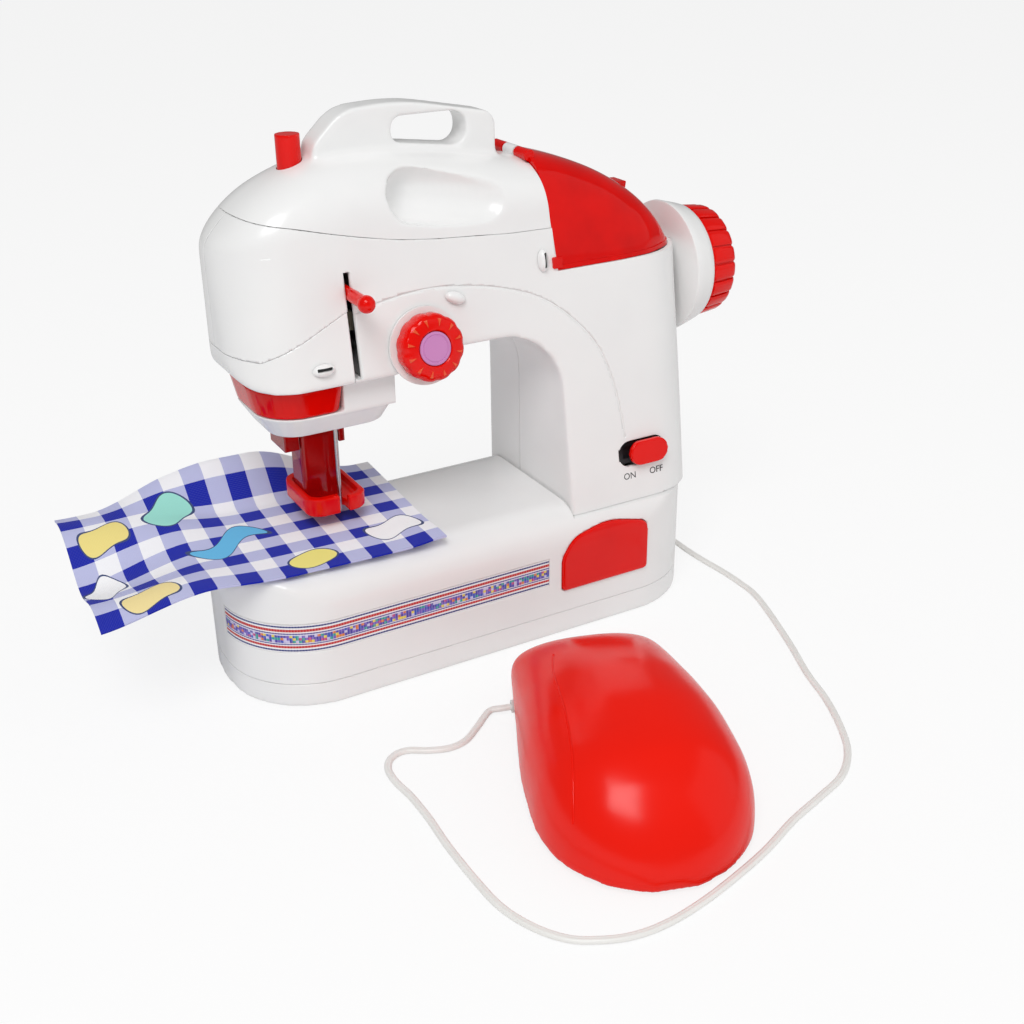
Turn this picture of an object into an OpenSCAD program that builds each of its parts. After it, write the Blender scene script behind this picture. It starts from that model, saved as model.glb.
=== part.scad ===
// Toy sewing machine with a foot pedal on a cord. Millimetres.
// Origin on the floor under the middle of the base, X towards the handwheel, Y to the back, Z up.

/* [Base] */
// Length of the base, left to right
base_l = 204; // [196:1:220]
// Depth of the base, front to back
base_d = 77; // [74:1:90]
// Height of the bottom pan
pan_h = 10; // [9:0.5:12]
// Height of the sewing bed above the floor
bed_z = 54; // [52:1:60]
// Rounding of the bed's long edges
bed_edge_r = 14; // [8:1:15]
// Corner radius of the base in plan at the needle end, as a share of half its depth
base_left_round = 0.88; // [0.6:0.01:0.95]
// Corner radius of the base in plan at the pillar end, as a share of half its depth
base_right_round = 0.93; // [0.6:0.01:0.95]
// Drop from the bed to the joint line under the pillar
foot_drop = 5; // [4:0.5:8]
// Wall of the mouldings
wall = 2.4; // [2:0.1:3]

/* [Arm and pillar] */
// Width of the pillar
pillar_w = 62; // [60:1:68]
// Inset of the pillar from the right end of the base
pillar_inset = 4; // [3:0.5:6]
// Reach of the arm from the pillar to the end of the head
arm_reach = 126; // [124:1:132]
// Depth of the arm at its top seam
arm_d = 51; // [50:1:56]
// Set-back of the arm's centre plane behind the middle of the base
arm_back = 10; // [8:1:12]
// How far the front leans out between the top seam and the pillar's foot
front_lean = 18; // [14:1:20]
// Height of the throat over the bed
throat_h = 70; // [68:1:78]
// Height of the arm from its underside to the top seam
arm_h = 42; // [41:1:48]
// Drop of the nose below the arm
nose_drop = 6; // [5:0.5:8]
// Corner radius of the throat
throat_r = 24; // [10:1:26]
// Rounding of the head in plan
head_r = 25; // [20:1:25]
// Rounding of the pillar's front corner at the handwheel end
pillar_corner_r = 28; // [20:1:28]

/* [Top cover, handle and lid] */
// Rise of the dome over the top seam
dome_h = 29; // [26:1:32]
// Rise of the handle over the dome
handle_h = 15.5; // [13:0.5:18]
// Length of the handle
handle_l = 74; // [68:1:78]
// Thickness of the handle, front to back
handle_t = 13; // [10:1:16]
// Thickness of the handle's bar
handle_bar = 6; // [4:0.5:7]
// Radius of the finger scoop
scoop_r = 10.5; // [8:0.5:11]
// Drop of the lid's rim below the top seam
lid_drop = 20; // [18:1:22]
// Wall of the clear lid
lid_wall = 2; // [1.6:0.1:2.4]

/* [Drive] */
// Height of the main shaft over the arm's underside
shaft_rise = 7.5; // [7.5:0.5:9]
// Radius of the main shaft
shaft_r = 2.5; // [2:0.1:3]
// Module of the gear teeth
tooth_module = 0.8; // [0.75:0.05:0.85]
// Teeth of the drive gear
gear_teeth = 28; // [26:1:28]
// Teeth of the motor pinion
pinion_teeth = 10; // [10:1:12]
// Width of the drive gear
gear_w = 6; // [5:0.5:7]
// Radius of the handwheel at its near rim
wheel_r = 23.6; // [22:0.2:24.6]
// Width of the handwheel
wheel_w = 12.5; // [12:0.5:16]
// Length of the collar behind the handwheel
collar_l = 11; // [10:1:14]
// Flutes round the handwheel
wheel_flutes = 16; // [12:1:20]
// Stroke of the needle bar
needle_stroke = 12; // [10:1:12]

/* [Head] */
// Distance from the end of the head to the needle bar
needle_in = 40.5; // [40:0.5:42]
// Radius of the needle bar
needle_bar_r = 2.2; // [2:0.1:2.6]
// Radius of the presser bar
presser_bar_r = 2.5; // [2.2:0.1:2.8]
// Radius of the lifting knob
knob_r = 4.4; // [4:0.1:5]
// Height of the lifting knob over the dome's seam
knob_rise = 36; // [34:1:40]
// Lift of the presser foot
presser_lift = 5.5; // [4:0.5:6]
// Height of the lamp window
lamp_h = 10.4; // [9:0.2:11]
// Height of the head plate
head_plate_h = 8.8; // [8:0.2:10]
// Width of the presser foot
foot_w = 25; // [22:1:27]
// Depth of the presser foot
foot_d = 30; // [28:1:34]

/* [Controls] */
// Outer radius of the tension dial
dial_r = 12.5; // [11:0.5:14]
// Thickness of the tension dial
dial_t = 8; // [7:0.5:10]
// Scallops round the tension dial
dial_scallops = 12; // [9:1:14]
// Length of the slide switch's cap
switch_l = 18; // [14:1:18]
// Height of the slide switch's cap
switch_h = 10; // [8:0.5:11]
// Travel of the slide switch
switch_travel = 4; // [3:0.5:5]
// Width of the accessory drawer's front
drawer_w = 41; // [38:1:44]
// Height of the accessory drawer's front
drawer_h = 28; // [26:1:28]
// Depth of the drawer's tray
drawer_depth = 44; // [38:1:46]

/* [Pedal] */
// Length of the pedal
pedal_l = 118; // [112:1:122]
// Width of the pedal
pedal_w = 74; // [70:1:78]
// Height of the pedal
pedal_h = 40; // [36:1:44]
// Height of the pedal's raised rim at the far end
pedal_gap = 15; // [13:1:17]
// Wall of the pedal's shell
pedal_wall = 2; // [1.6:0.1:2.6]
// Diameter of the cord
cord_dia = 2.7; // [2.4:0.1:3]

/* [Cloth] */
// Length of the practice cloth
cloth_l = 130; // [120:1:136]
// Width of the practice cloth
cloth_w = 82; // [74:1:84]
// Thickness of the cloth's solid
cloth_t = 1; // [0.8:0.1:1.2]

/* [Hidden] */
$fn = 48;
// Gap between two mouldings, running clearance of a pin and overrun of a cut
seam = 0.3;
run = 0.06;
over = 1;
big = base_l * 2;
// Segments of a rounded corner
arc_n = 8;

// Main heights and places
crease_z = bed_z - foot_drop;
arm_under_z = bed_z + throat_h;
seam_z = arm_under_z + arm_h;
nose_z = arm_under_z - nose_drop;
lid_z = seam_z - lid_drop;
dome_z = seam_z + dome_h;
handle_z = dome_z + handle_h;
shaft_z = arm_under_z + shaft_rise;
pillar_r = base_l / 2 - pillar_inset;
throat_x = pillar_r - pillar_w;
head_x = throat_x - arm_reach;
arm_front = arm_back - arm_d / 2;
arm_rear = arm_back + arm_d / 2;
lean = atan(front_lean / (seam_z - crease_z));
function front_y(z) = arm_front - front_lean * (seam_z - z) / (seam_z - crease_z);

// Plan vectors and rounded outlines: a corner is [x, y, radius], counter-clockwise
function left_of(v) = [-v[1], v[0]];
function unit(v) = v / norm(v);
function turn(v, a) = [v[0] * cos(a) - v[1] * sin(a), v[0] * sin(a) + v[1] * cos(a)];
function at(p, i) = [p[(i + len(p)) % len(p)][0], p[(i + len(p)) % len(p)][1]];
function side(p, i) = unit(at(p, i + 1) - at(p, i));
function angle(p, i) = atan2(side(p, i - 1)[0] * side(p, i)[1] - side(p, i - 1)[1] * side(p, i)[0],
                             side(p, i - 1) * side(p, i));
function pulled(p, i, d) = at(p, i) + d * (left_of(side(p, i - 1)) + left_of(side(p, i)))
                           / (1 + side(p, i - 1) * side(p, i));
function corner(q, a, d1, r) =
    r <= 0 || a == 0 ? [q] :
    let (s = sign(a), t = r * tan(abs(a) / 2), c = q - d1 * t + s * r * left_of(d1))
    [for (k = [0:arc_n]) c + turn(-s * r * left_of(d1), a * k / arc_n)];
function rounded(p, d = 0) =
    [for (i = [0:len(p) - 1])
        let (a = angle(p, i))
        each corner(pulled(p, i, d), a, side(p, i - 1), p[i][2] > 0 ? p[i][2] - sign(a) * d : 0)];

// Prisms along the three axes
module along_x(p, x0, x1) {
    translate([x0, 0, 0]) rotate([90, 0, 90]) linear_extrude(x1 - x0) polygon(p);
}
module along_y(p, y0 = -big, y1 = big) {
    translate([0, y1, 0]) rotate([90, 0, 0]) linear_extrude(y1 - y0) polygon(p);
}
module along_z(p, z0, z1) {
    translate([0, 0, z0]) linear_extrude(z1 - z0) polygon(p);
}
module block(lo, hi) {
    translate(lo) cube(hi - lo);
}
module rod_x(r, x0, x1, y, z) {
    translate([x0, y, z]) rotate([0, 90, 0]) cylinder(h = x1 - x0, r = r);
}
module rod_y(r, y0, y1, x, z) {
    translate([x, y1, z]) rotate([90, 0, 0]) cylinder(h = y1 - y0, r = r);
}
module rod_z(r, z0, z1, x, y) {
    translate([x, y, z0]) cylinder(h = z1 - z0, r = r);
}
// Frame on the leaning front, with -Y pointing out of the surface
module on_front(x, z) {
    translate([x, front_y(z), z]) rotate([-lean, 0, 0]) children();
}
// Solid through a row of rings that all have the same number of points
module loft(rings) {
    n = len(rings[0]);
    m = len(rings);
    polyhedron(
        points = [for (r = rings) each r],
        faces = concat(
            [[for (i = [0:n - 1]) i]],
            [for (k = [0:m - 2], i = [0:n - 1])
                each [[k * n + i, (k + 1) * n + i, k * n + (i + 1) % n],
                      [k * n + (i + 1) % n, (k + 1) * n + i, (k + 1) * n + (i + 1) % n]]],
            [[for (i = [n - 1:-1:0]) (m - 1) * n + i]]));
}
// Arch across Y over a flat foot: half-width w, foot height z0, crest z1, squareness e
arch_n = 16;
function arch(x, y, w, z0, z1, e) =
    [for (k = [0:arch_n])
        let (a = 180 * k / arch_n, c = cos(a), s = sin(a))
        [x, y + w * sign(c) * pow(abs(c), 2 / e), z0 + (z1 - z0) * pow(abs(s), 2 / e)]];

// Base form: plan, side and front outlines pulled in by d, from z0 up
base_left_r = base_d / 2 * base_left_round;
base_right_r = base_d / 2 * base_right_round;
function base_plan(d) = rounded([
    [-base_l / 2, -base_d / 2, base_left_r], [base_l / 2, -base_d / 2, base_right_r],
    [base_l / 2, base_d / 2, base_right_r], [-base_l / 2, base_d / 2, base_left_r]], d);
module base_form(d, z0) {
    intersection() {
        along_z(base_plan(d), z0, bed_z);
        along_x(rounded([[-base_d / 2, z0 - d, 0], [base_d / 2, z0 - d, 0],
            [base_d / 2, bed_z, bed_edge_r], [-base_d / 2, bed_z, bed_edge_r]], d), -big, big);
        along_y(rounded([[-base_l / 2, z0 - d, 0], [base_l / 2, z0 - d, 0], [base_l / 2, crease_z, 0],
            [throat_x - seam, crease_z, 0], [throat_x - seam, bed_z, 0],
            [-base_l / 2, bed_z, bed_edge_r]], d));
    }
}
// Posts for the base screws
post_r = 4;
base_screw_r = 1.5;
screw_head_r = 2.8;
post_in = [24, 15];
base_posts = [for (sx = [-1, 1], sy = [-1, 1])
    [sx * (base_l / 2 - post_in[0]), sy * (base_d / 2 - post_in[1])]];

// Accessory drawer: place of its front and of the tray behind it
drawer_in = 8;
drawer_x0 = throat_x - drawer_in;
drawer_rise = 10;
drawer_z0 = pan_h + drawer_rise;
drawer_proud = 0.8;
drawer_tray_in = 4;
drawer_tray_h_share = 0.62;
drawer_floor = 1.6;
drawer_shares = [[0, 0, 0.03], [1, 0, 0.03], [1, 0.77, 0.1], [0.54, 0.93, 0.8], [0.13, 0.8, 0.25], [0,
    0.52, 0.2]];
drawer_outline = rounded([for (p = drawer_shares)
    [drawer_x0 + drawer_w * p[0], drawer_z0 + drawer_h * p[1], drawer_w * p[2]]]);
tray_x = [drawer_x0 + drawer_tray_in, drawer_x0 + drawer_w - drawer_tray_in];
tray_z = [drawer_z0 + drawer_floor, drawer_z0 + drawer_h * drawer_tray_h_share];
tray_y = [-base_d / 2 + wall + seam, -base_d / 2 + wall + drawer_depth];

// Battery bay
cell_r = 7.1;
cell_l = 50;
cell_gap = 0.6;
cell_count = 4;
bay_in = 58;
cell_x = -base_l / 2 + bay_in;
bay_l = cell_count * (2 * cell_r + cell_gap);
contact_t = 0.5;
bay_wall = 2;
bay_h = 16;
bay_door_in = 3;
cell_z = wall + seam + cell_r;

// Needle and presser axes
needle_x = head_x + needle_in;
needle_fore = 10;
needle_y = arm_back - needle_fore;
presser_side = 5.5;
presser_x = needle_x - presser_side;
presser_aft = 1;
presser_y = arm_back + presser_aft;
plate_l = 46;
plate_d = 34;
plate_t = 1.6;
needle_r = 0.8;
needle_hole_r = 2;
needle_plate_side = 4;
needle_plate_x = needle_x - needle_plate_side;

// Trim band on the base front
band_rise = [14, 26];
band_z = [pan_h + band_rise[0], pan_h + band_rise[1]];
band_depth = 0.7;
band_t = 0.5;
band_short = 14;
band_end = throat_x - band_short;
band_back_share = 0.42;

// Switch and slot
switch_in = 35;
switch_x = throat_x + switch_in;
switch_rise = 20;
switch_z = crease_z + switch_rise;
slot_w = 2.6;
slot_side = 2;
slot_x = needle_x + slot_side;
slot_ends = [2, 8];
slot_z = [nose_z + slot_ends[0], seam_z - slot_ends[1]];
dial_side = 28.8;
dial_x = needle_x + dial_side;
dial_rise = 4;
dial_z = arm_under_z + dial_rise;

// Posts and screws that join the two halves of the arm and pillar
shell_post_in = [9, 12, 20];
shell_post_rise = 12;
shell_post_drop = [5, 8];
shell_posts = [[pillar_r - shell_post_in[0], crease_z + shell_post_rise],
               [throat_x + shell_post_in[0], crease_z + shell_post_rise],
               [pillar_r - shell_post_in[0], lid_z - shell_post_drop[0]],
               [throat_x - shell_post_in[1], seam_z - shell_post_drop[1]],
               [head_x + shell_post_in[2], seam_z - shell_post_drop[1]]];
shell_post_r = 3.4;
shell_screw_r = 1.4;
shell_head_h = 2.4;

// Outlines of the arm and pillar. The cavity is open at the top, under the lid and at the foot.
lid_low_in = 2;
lid_low_x = throat_x + lid_low_in;
lid_top_out = 1.5;
lid_top_x = throat_x - lid_top_out;
lid_side_drop = 8;
lid_side_z = dome_z - lid_side_drop;
function lid_side(z) = lid_low_x + (lid_top_x - lid_low_x) * (z - lid_z) / (lid_side_z - lid_z);
block_side = 18.5;
block_x = needle_x + block_side;
side_draft = 7;
rear_draft = 1;
nose_left_in = 0.5;
lid_end_in = 2.5;
lid_lean = 0.8;
lid_right_x = pillar_r + side_draft / 2 - lid_end_in;
nose_corner_r = 10;
edge_r = 3;
function body_front_outline(d, up) = rounded([
    [throat_x, crease_z + seam - up, 0], [pillar_r, crease_z + seam - up, 0],
    [pillar_r + side_draft, lid_z + up, up > 0 ? 0 : edge_r],
    [lid_side(lid_z + up), lid_z + up, 0], [lid_side(seam_z + up), seam_z + up, 0],
    [head_x, seam_z + up, 0], [head_x + nose_left_in, nose_z, nose_corner_r], [block_x, nose_z, 0],
    [block_x + edge_r, arm_under_z, 0], [throat_x, arm_under_z, throat_r]], d);
function body_side_outline(d, up) = rounded([
    [front_y(crease_z - up), crease_z - up, 0], [arm_rear + rear_draft, crease_z - up, 0],
    [arm_rear, seam_z + up, 0], [front_y(seam_z + up), seam_z + up, 0]], d);
// Plan of the front, measured from the leaning front plane, and plan of the upright rear
function body_front_plan(d) = rounded([
    [head_x, 0, head_r], [pillar_r + side_draft, 0, pillar_corner_r],
    [pillar_r + side_draft, base_l, 0], [head_x, base_l, 0]], d);
function body_rear_plan(d) = rounded([
    [head_x, -base_l, 0], [pillar_r + side_draft, -base_l, 0],
    [pillar_r + side_draft, arm_rear + rear_draft, pillar_corner_r],
    [head_x, arm_rear + rear_draft, head_r]], d);
module body_form(d, up) {
    intersection() {
        along_y(body_front_outline(d, up));
        along_x(body_side_outline(d, up), -big, big);
        on_front(0, seam_z) along_z(body_front_plan(d), -big, big);
        along_z(body_rear_plan(d), 0, big);
    }
}
// Region of the nose cover, left of the take-up slot
nose_seam_shares = [[1, 0.55], [0.58, 0.38], [0.24, 0.25], [0, 0.27]];
function nose_region(d) =
    let (x0 = head_x - over, x1 = slot_x - slot_w / 2 - seam + d, h = seam_z - nose_z)
    concat([[x0, nose_z - over], [x1, nose_z - over]],
           [for (s = nose_seam_shares) [x0 + (x1 - x0) * s[0], nose_z + h * s[1] + d]]);
// Window in the nose's floor for the bars
bar_window_side = [8.5, 5];
bar_window_fore = 6;
bar_window_aft = 16;
bar_window_x = [presser_x - bar_window_side[0], needle_x + bar_window_side[1]];
bar_window_y = [needle_y - bar_window_fore, presser_y + bar_window_aft];

// Drive train along X
crank_r = needle_stroke / 2;
crank_short = 2;
crank_rest = crank_r - crank_short;
crank_a = asin(crank_rest / crank_r);
crank_side = 14;
crank_x = needle_x + crank_side;
crank_t = 4;
crank_rim = 1.5;
crank_disc_r = crank_r + crank_rim;
crank_pin_r = 1.2;
yoke_side = [6, 9];
yoke_x = [needle_x + yoke_side[0], needle_x + yoke_side[1]];
gear_in = 25;
gear_x = pillar_r - gear_in;
gear_pitch_r = tooth_module * gear_teeth / 2;
pinion_pitch_r = tooth_module * pinion_teeth / 2;
pinion_z = shaft_z - gear_pitch_r - pinion_pitch_r;
motor_l = 25;
motor_d = 20;
motor_h = 15;
motor_gap = 9;
motor_shaft_r = 1;
motor_x = gear_x - motor_gap - motor_l;
collar_x = pillar_r + side_draft + seam;
wheel_x = collar_x + collar_l + seam;
bush_wall = 1.5;
bush_r = shaft_r + bush_wall;
bush_l = 6;
lug = 4;
frame_t = 3;
frame_aft = 14;
frame_y = arm_back + frame_aft;
frame_low_z = arm_under_z + wall + seam;
bush_gap = [6.5, 3];
left_bush_x = crank_x + crank_t + bush_gap[0];
mid_bush_x = gear_x - bush_l - bush_gap[1];

// Involute gear outline, thinned by its backlash
pressure = 20;
backlash_share = 0.1;
flank_n = 5;
function involute_angle(rb, r) = let (t = sqrt(max(r * r / (rb * rb) - 1, 0))) t * 180 / PI - atan(t);
function gear_outline(n) =
    let (rp = tooth_module * n / 2, rb = rp * cos(pressure), ra = rp + tooth_module * 0.9,
         rr = rp - tooth_module * 1.25, half = 90 / n * (1 - backlash_share) + involute_angle(rb, rp))
    [for (i = [0:n - 1])
        each concat(
            [for (k = [0:flank_n])
                let (r = max(rr, rb) + (ra - max(rr, rb)) * k / flank_n, a = 360 * i / n - half
                     + involute_angle(rb, r)) [r * cos(a), r * sin(a)]],
            [for (k = [flank_n:-1:0])
                let (r = max(rr, rb) + (ra - max(rr, rb)) * k / flank_n, a = 360 * i / n + half
                     - involute_angle(rb, r)) [r * cos(a), r * sin(a)]],
            [for (s = [0.3, 0.7])
                let (a = 360 * i / n + half + (360 / n - 2 * half) * s) [rr * cos(a), rr * sin(a)]])];

// Head stack below the nose
lamp_z = nose_z - seam - lamp_h;
plate_z = lamp_z - seam - head_plate_h;
stack_in = 7;
stack_front = 28.5;
stack_rear = 22;
lamp_taper = 2.2;
plate_taper = 7.5;
stack_left = head_x + stack_in;
stack_y = [arm_back - stack_front, arm_back + stack_rear];
stack_r = 18;
lamp_side = 2.5;
lamp_right = needle_x - lamp_side;
shank_side = [6.5, 8.5];
shank_x = [presser_x - shank_side[0], presser_x + shank_side[1]];
shank_fore = 5.5;
shank_aft = 7;
shank_y = [presser_y - shank_fore, presser_y + shank_aft];
shank_clear = 0.5;
shank_rise = 7;
shank_top = plate_z + shank_rise;
guard_h = 12;
guard_wall = 6;
foot_low_z = bed_z + seam + cloth_t + seam;
foot_z = foot_low_z + presser_lift;
foot_t = 6;
foot_fore = 5;
foot_side = 3.5;
foot_corner_r = [6, 5];
foot_y0 = needle_y - foot_fore;
foot_slot_r = 1.8;
guide_t = 3.4;
lower_guide_z = nose_z;
guide_rise = 26;
upper_guide_z = shaft_z + guide_rise;
guide_back = 8;
guide_front = 5;
head_frame_side = [8, 4.5];
head_frame_x = [presser_x - head_frame_side[0], needle_x + head_frame_side[1]];
yoke_h = 7;
yoke_z = shaft_z + crank_rest;
take_up_rise = 13;
take_up_z = yoke_z + take_up_rise;
take_up_h = 4.5;
take_up_t = 1.8;
take_up_out = 14;
take_up_ball_r = 3.2;
take_up_rod_r = 2.4;
collar_ring_r = 4.5;
spring_r = 4.2;
spring_t = 0.8;
presser_stop_rise = 10;
presser_stop_z = nose_z + presser_stop_rise;
collar_ring_t = 3;
bar_grip = 8;
knob_grip = 6;
knob_l = 17;

// Wheel collar
collar_r = [27.2, 24.3];

// Spool tray and spool
tray_t = 2;
tray_gap = 0.3;
spool_in = 28;
spool_x = lid_low_x + spool_in;
spool_r = 11;
spool_core_r = 5;
spool_h = 22;
spool_flange = 2;
spool_pin_r = 2;
spool_tray_z = lid_z - tray_t;

// Lid hinge at the top left of the lid
hinge_r = 2.2;
hinge_pin_r = 1;
hinge_x = lid_top_x;
hinge_z = lid_side_z;
hinge_y = [4, 12];

// Crown of the top cover: [share of length, share of rise]; its foot follows the arm's plan
dome_shares = [[0, 0.03], [0.012, 0.12], [0.04, 0.26], [0.08, 0.43], [0.155, 0.67], [0.22, 0.81], [0.3, 0.93],
               [0.39, 1], [0.46, 1], [0.6, 0.94], [0.76, 0.85], [0.93, 0.72], [1, 0.67]];
dome_square = 2.4;
function head_in(dx, d) = head_r - sqrt(max(pow(head_r - d, 2) - pow(max(head_r - dx, 0), 2), 0));
function dome_rings(d) = [for (s = dome_shares)
    let (x = head_x + d + (lid_low_x - head_x - d) * s[0], y0 = arm_front + max(head_in(x - head_x, d), d),
         y1 = arm_rear - max(head_in(x - head_x, d), d))
    arch(x, (y0 + y1) / 2, (y1 - y0) / 2, seam_z - (d > 0 ? over : 0),
         seam_z + seam + max(dome_h * s[1] - d, d > 0 ? d : over), dome_square)];
// Line along which the top cover meets the arm: [share of length, height over the seam's middle]
seam_shares = [[-0.1, 13], [0.06, 12.3], [0.109, 11], [0.188, 9.2], [0.289, 6], [0.39, 3], [0.5, 0.3],
    [0.617, -1.4],
               [0.734, -2.4], [0.855, -3.5], [1, -3.8], [1.3, -4]];
function seam_region(up) = concat(
    [for (s = seam_shares) [head_x + (lid_low_x - head_x) * s[0], seam_z + s[1] + up]],
    [[head_x + (lid_low_x - head_x) * seam_shares[len(seam_shares) - 1][0], handle_z + over],
     [head_x + (lid_low_x - head_x) * seam_shares[0][0], handle_z + over]]);
module arm_form(d, up) {
    body_form(d, up);
    loft(dome_rings(d));
}
// Crown of the lid: [share of length, share of half-depth, share of rise]
lid_shares = [[0, 1, 1], [0.15, 1, 0.95], [0.465, 1, 0.78], [0.7, 0.95, 0.58], [0.86, 0.8, 0.37],
              [0.95, 0.64, 0.17], [1, 0.44, 0.03]];
lid_square = 2.8;
lid_crest_drop = 6;
lid_rise = dome_z - lid_crest_drop - lid_z;
function leant(p) = [p[0], p[1] - max(seam_z - p[2], 0) * tan(lean) * lid_lean * max(arm_back - p[1],
    0) / (arm_d / 2),
                     p[2]];
function lid_rings(d) = [for (s = lid_shares)
    [for (p = arch(lid_top_x - edge_r + (lid_right_x - d - lid_top_x + edge_r) * s[0], arm_back,
                   max((arm_d / 2) * s[1] - d, d), lid_z + seam - (d > 0 ? over : 0),
                   lid_z + seam + max(lid_rise * s[2] - d, d > 0 ? d : over), lid_square)) leant(p)]];
lid_tab = [8, 3, 2.4];
lid_tab_share = 0.52;
lid_cut = [[lid_side(lid_z - over), lid_z - over], [base_l, lid_z - over], [base_l, handle_z],
           [lid_side(handle_z), handle_z]];

// Handle and scoops on the top cover
handle_in = 40.5;
handle_x0 = head_x + handle_in;
handle_foot_share = 0.5;
handle_foot_z = seam_z + dome_h * handle_foot_share;
handle_end_r = 6;
handle_left_r = 13;
handle_crest_r = 90;
handle_crest_share = 0.48;
handle_drop = 7;
hole_in = [31.5, 13];
hole_r = 5;
hole_rise = 1.5;
hole_sink = 2.5;
hole_taper = 0.68;
scoop_side = [31.5, 59];
scoop_rise = [14.7, 11.3];
scoop_x = [needle_x + scoop_side[0], needle_x + scoop_side[1]];
scoop_z = [seam_z + scoop_rise[0], seam_z + scoop_rise[1]];
scoop_taper = [1, 0.97];
scoop_in = [4, -4];

// Pedal frame on the floor: centre, turn and hinge
pedal_at = [-5, -132.3];
pedal_turn = -18;
pedal_hinge_in = 12;
pedal_hinge_u = -pedal_l / 2 + pedal_hinge_in;
pedal_hinge_z = 6;
pedal_pin_r = 1.5;
pedal_lug = 3.6;
pedal_lug_v = [0, 10, 15.5];
pedal_lug_t = 4;
pedal_plate_t = 3;
pedal_plate_in = 4.5;
pedal_rim_z = 1.5;
// Shares along the pedal: place, half-width, crest
pedal_shares = [[0, 0.2, 0.15], [0.012, 0.3, 0.26], [0.034, 0.46, 0.4], [0.088, 0.69, 0.61], [0.16,
    0.865, 0.79],
                [0.25, 0.97, 0.92], [0.33, 1, 0.965], [0.47, 0.99, 1], [0.6, 0.94, 0.98], [0.72, 0.88, 0.92],
                [0.86, 0.82, 0.8], [0.94, 0.78, 0.69], [0.98, 0.72, 0.6], [1, 0.62, 0.52]];
pedal_square = 2.5;
pedal_rim_bend = 1.8;
function pedal_rim(s) = pedal_rim_z + (pedal_gap - pedal_rim_z) * pow(s, pedal_rim_bend);
function pedal_rings(d) = [for (s = pedal_shares)
    let (r = pedal_rim(s[0]), top = max(pedal_h * s[2], r + 3 * over))
    [for (p = arch(0, 0, max(pedal_w / 2 * s[1] - d, d), r - (d > 0 ? over : 0), top - d, pedal_square))
        [-p[1], -pedal_l / 2 + d + (pedal_l - 2 * d) * s[0], p[2]]]];
pedal_plate_outline = concat(
    [for (s = pedal_shares) [pedal_w / 2 * s[1] - pedal_plate_in,
        (pedal_l - 2 * pedal_plate_in) * (s[0] - 0.5)]],
    [for (k = [len(pedal_shares) - 1:-1:0])
        let (s = pedal_shares[k])
        [pedal_plate_in - pedal_w / 2 * s[1], (pedal_l - 2 * pedal_plate_in) * (s[0] - 0.5)]]);
pedal_spring_u = 26;
pedal_spring_r = 5;
pedal_switch_u = 6;
pedal_switch_size = [12, 12, 7];
pedal_button_r = 2;
pedal_button_h = 3;
pedal_press = 5.2;
pedal_gland_in = 11;
pedal_gland_u = pedal_l / 2 - pedal_gland_in;
gland_r = 2.4;
gland_z = 3;
gland_l = 7;
pedal_gland_share = 0.72;
pedal_gland_out = 3;
pedal_gland_v = -pedal_w / 2 * pedal_gland_share - pedal_gland_out;
module at_pedal() {
    translate([pedal_at[0], pedal_at[1], 0]) rotate([0, 0, pedal_turn]) children();
}
pedal_spring_share = 0.86;
pedal_spring_top = pedal_h * pedal_spring_share - pedal_wall;
pedal_seat_in = 1.5;
pedal_seat_h = 4;
pedal_post_wall = 1;

// Route of the cord's middle line, from the base to the pedal
cord_r = cord_dia / 2;
cord_clear = 0.15;
cord_lead = [8.5, 4, -4];
base_gland_y = 2;
base_gland_z = 6;
base_gland_l = 6;
cord_route = [
    [base_l / 2, base_gland_y, base_gland_z], [base_l / 2 + base_gland_l - wall, base_gland_y, base_gland_z],
    [109, 1.2, 5.3], [112, -2, 3.6], [114, -8, 2],
    [115, -18, 1.5], [116, -32, 1.5], [116, -44, 1.5], [115, -55, 1.5], [110, -71, 1.5], [101, -95, 1.5],
    [93, -114, 1.5], [87, -132, 1.5], [79, -149, 1.5], [71, -161, 1.5], [60, -170, 1.5], [46, -175, 1.5],
    [30, -180, 1.5], [13, -187, 1.5], [-3, -192, 1.5], [-19, -196, 1.5], [-34, -198, 1.5], [-46, -197, 1.5],
    [-56, -193, 1.5], [-63, -188, 1.5], [-69, -179, 1.5], [-73, -167, 1.5], [-74, -153, 1.5], [-74, -134,
        1.5],
    [-73, -118, 1.5], [-73, -105, 1.5], [-74, -94, 1.5], [-73, -86, 1.5], [-69, -81, 1.5], [-63, -80, 1.5],
    [-56, -84, 1.5], [-49, -86.5, 1.5], [-42, -85.5, 1.5], [-34.5, -80.5, 1.7],
    concat(at_pedal_point([pedal_gland_v - cord_lead[0], pedal_gland_u]), [2.3]),
    concat(at_pedal_point([pedal_gland_v - cord_lead[1], pedal_gland_u]), [2.9]),
    concat(at_pedal_point([pedal_gland_v, pedal_gland_u]), [gland_z]),
    concat(at_pedal_point([pedal_gland_v - cord_lead[2], pedal_gland_u]), [gland_z])];
function at_pedal_point(p) = [pedal_at[0], pedal_at[1]] + turn(p, pedal_turn);
cord_sides = 8;
cord_steps = 2;
function spline(a, b, c, d, t) =
    ((2 * b) + (c - a) * t + (2 * a - 5 * b + 4 * c - d) * t * t + (3 * b - a - 3 * c + d) * t * t * t) / 2;
function route_at(i) = cord_route[min(max(i, 0), len(cord_route) - 1)];
cord_path = concat(
    [for (i = [0:len(cord_route) - 2], k = [0:cord_steps - 1])
        spline(route_at(i - 1), route_at(i), route_at(i + 1), route_at(i + 2), k / cord_steps)],
    [route_at(len(cord_route) - 1)]);
function path_dir(i) = unit(cord_path[min(i + 1, len(cord_path) - 1)] - cord_path[max(i - 1, 0)]);
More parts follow.
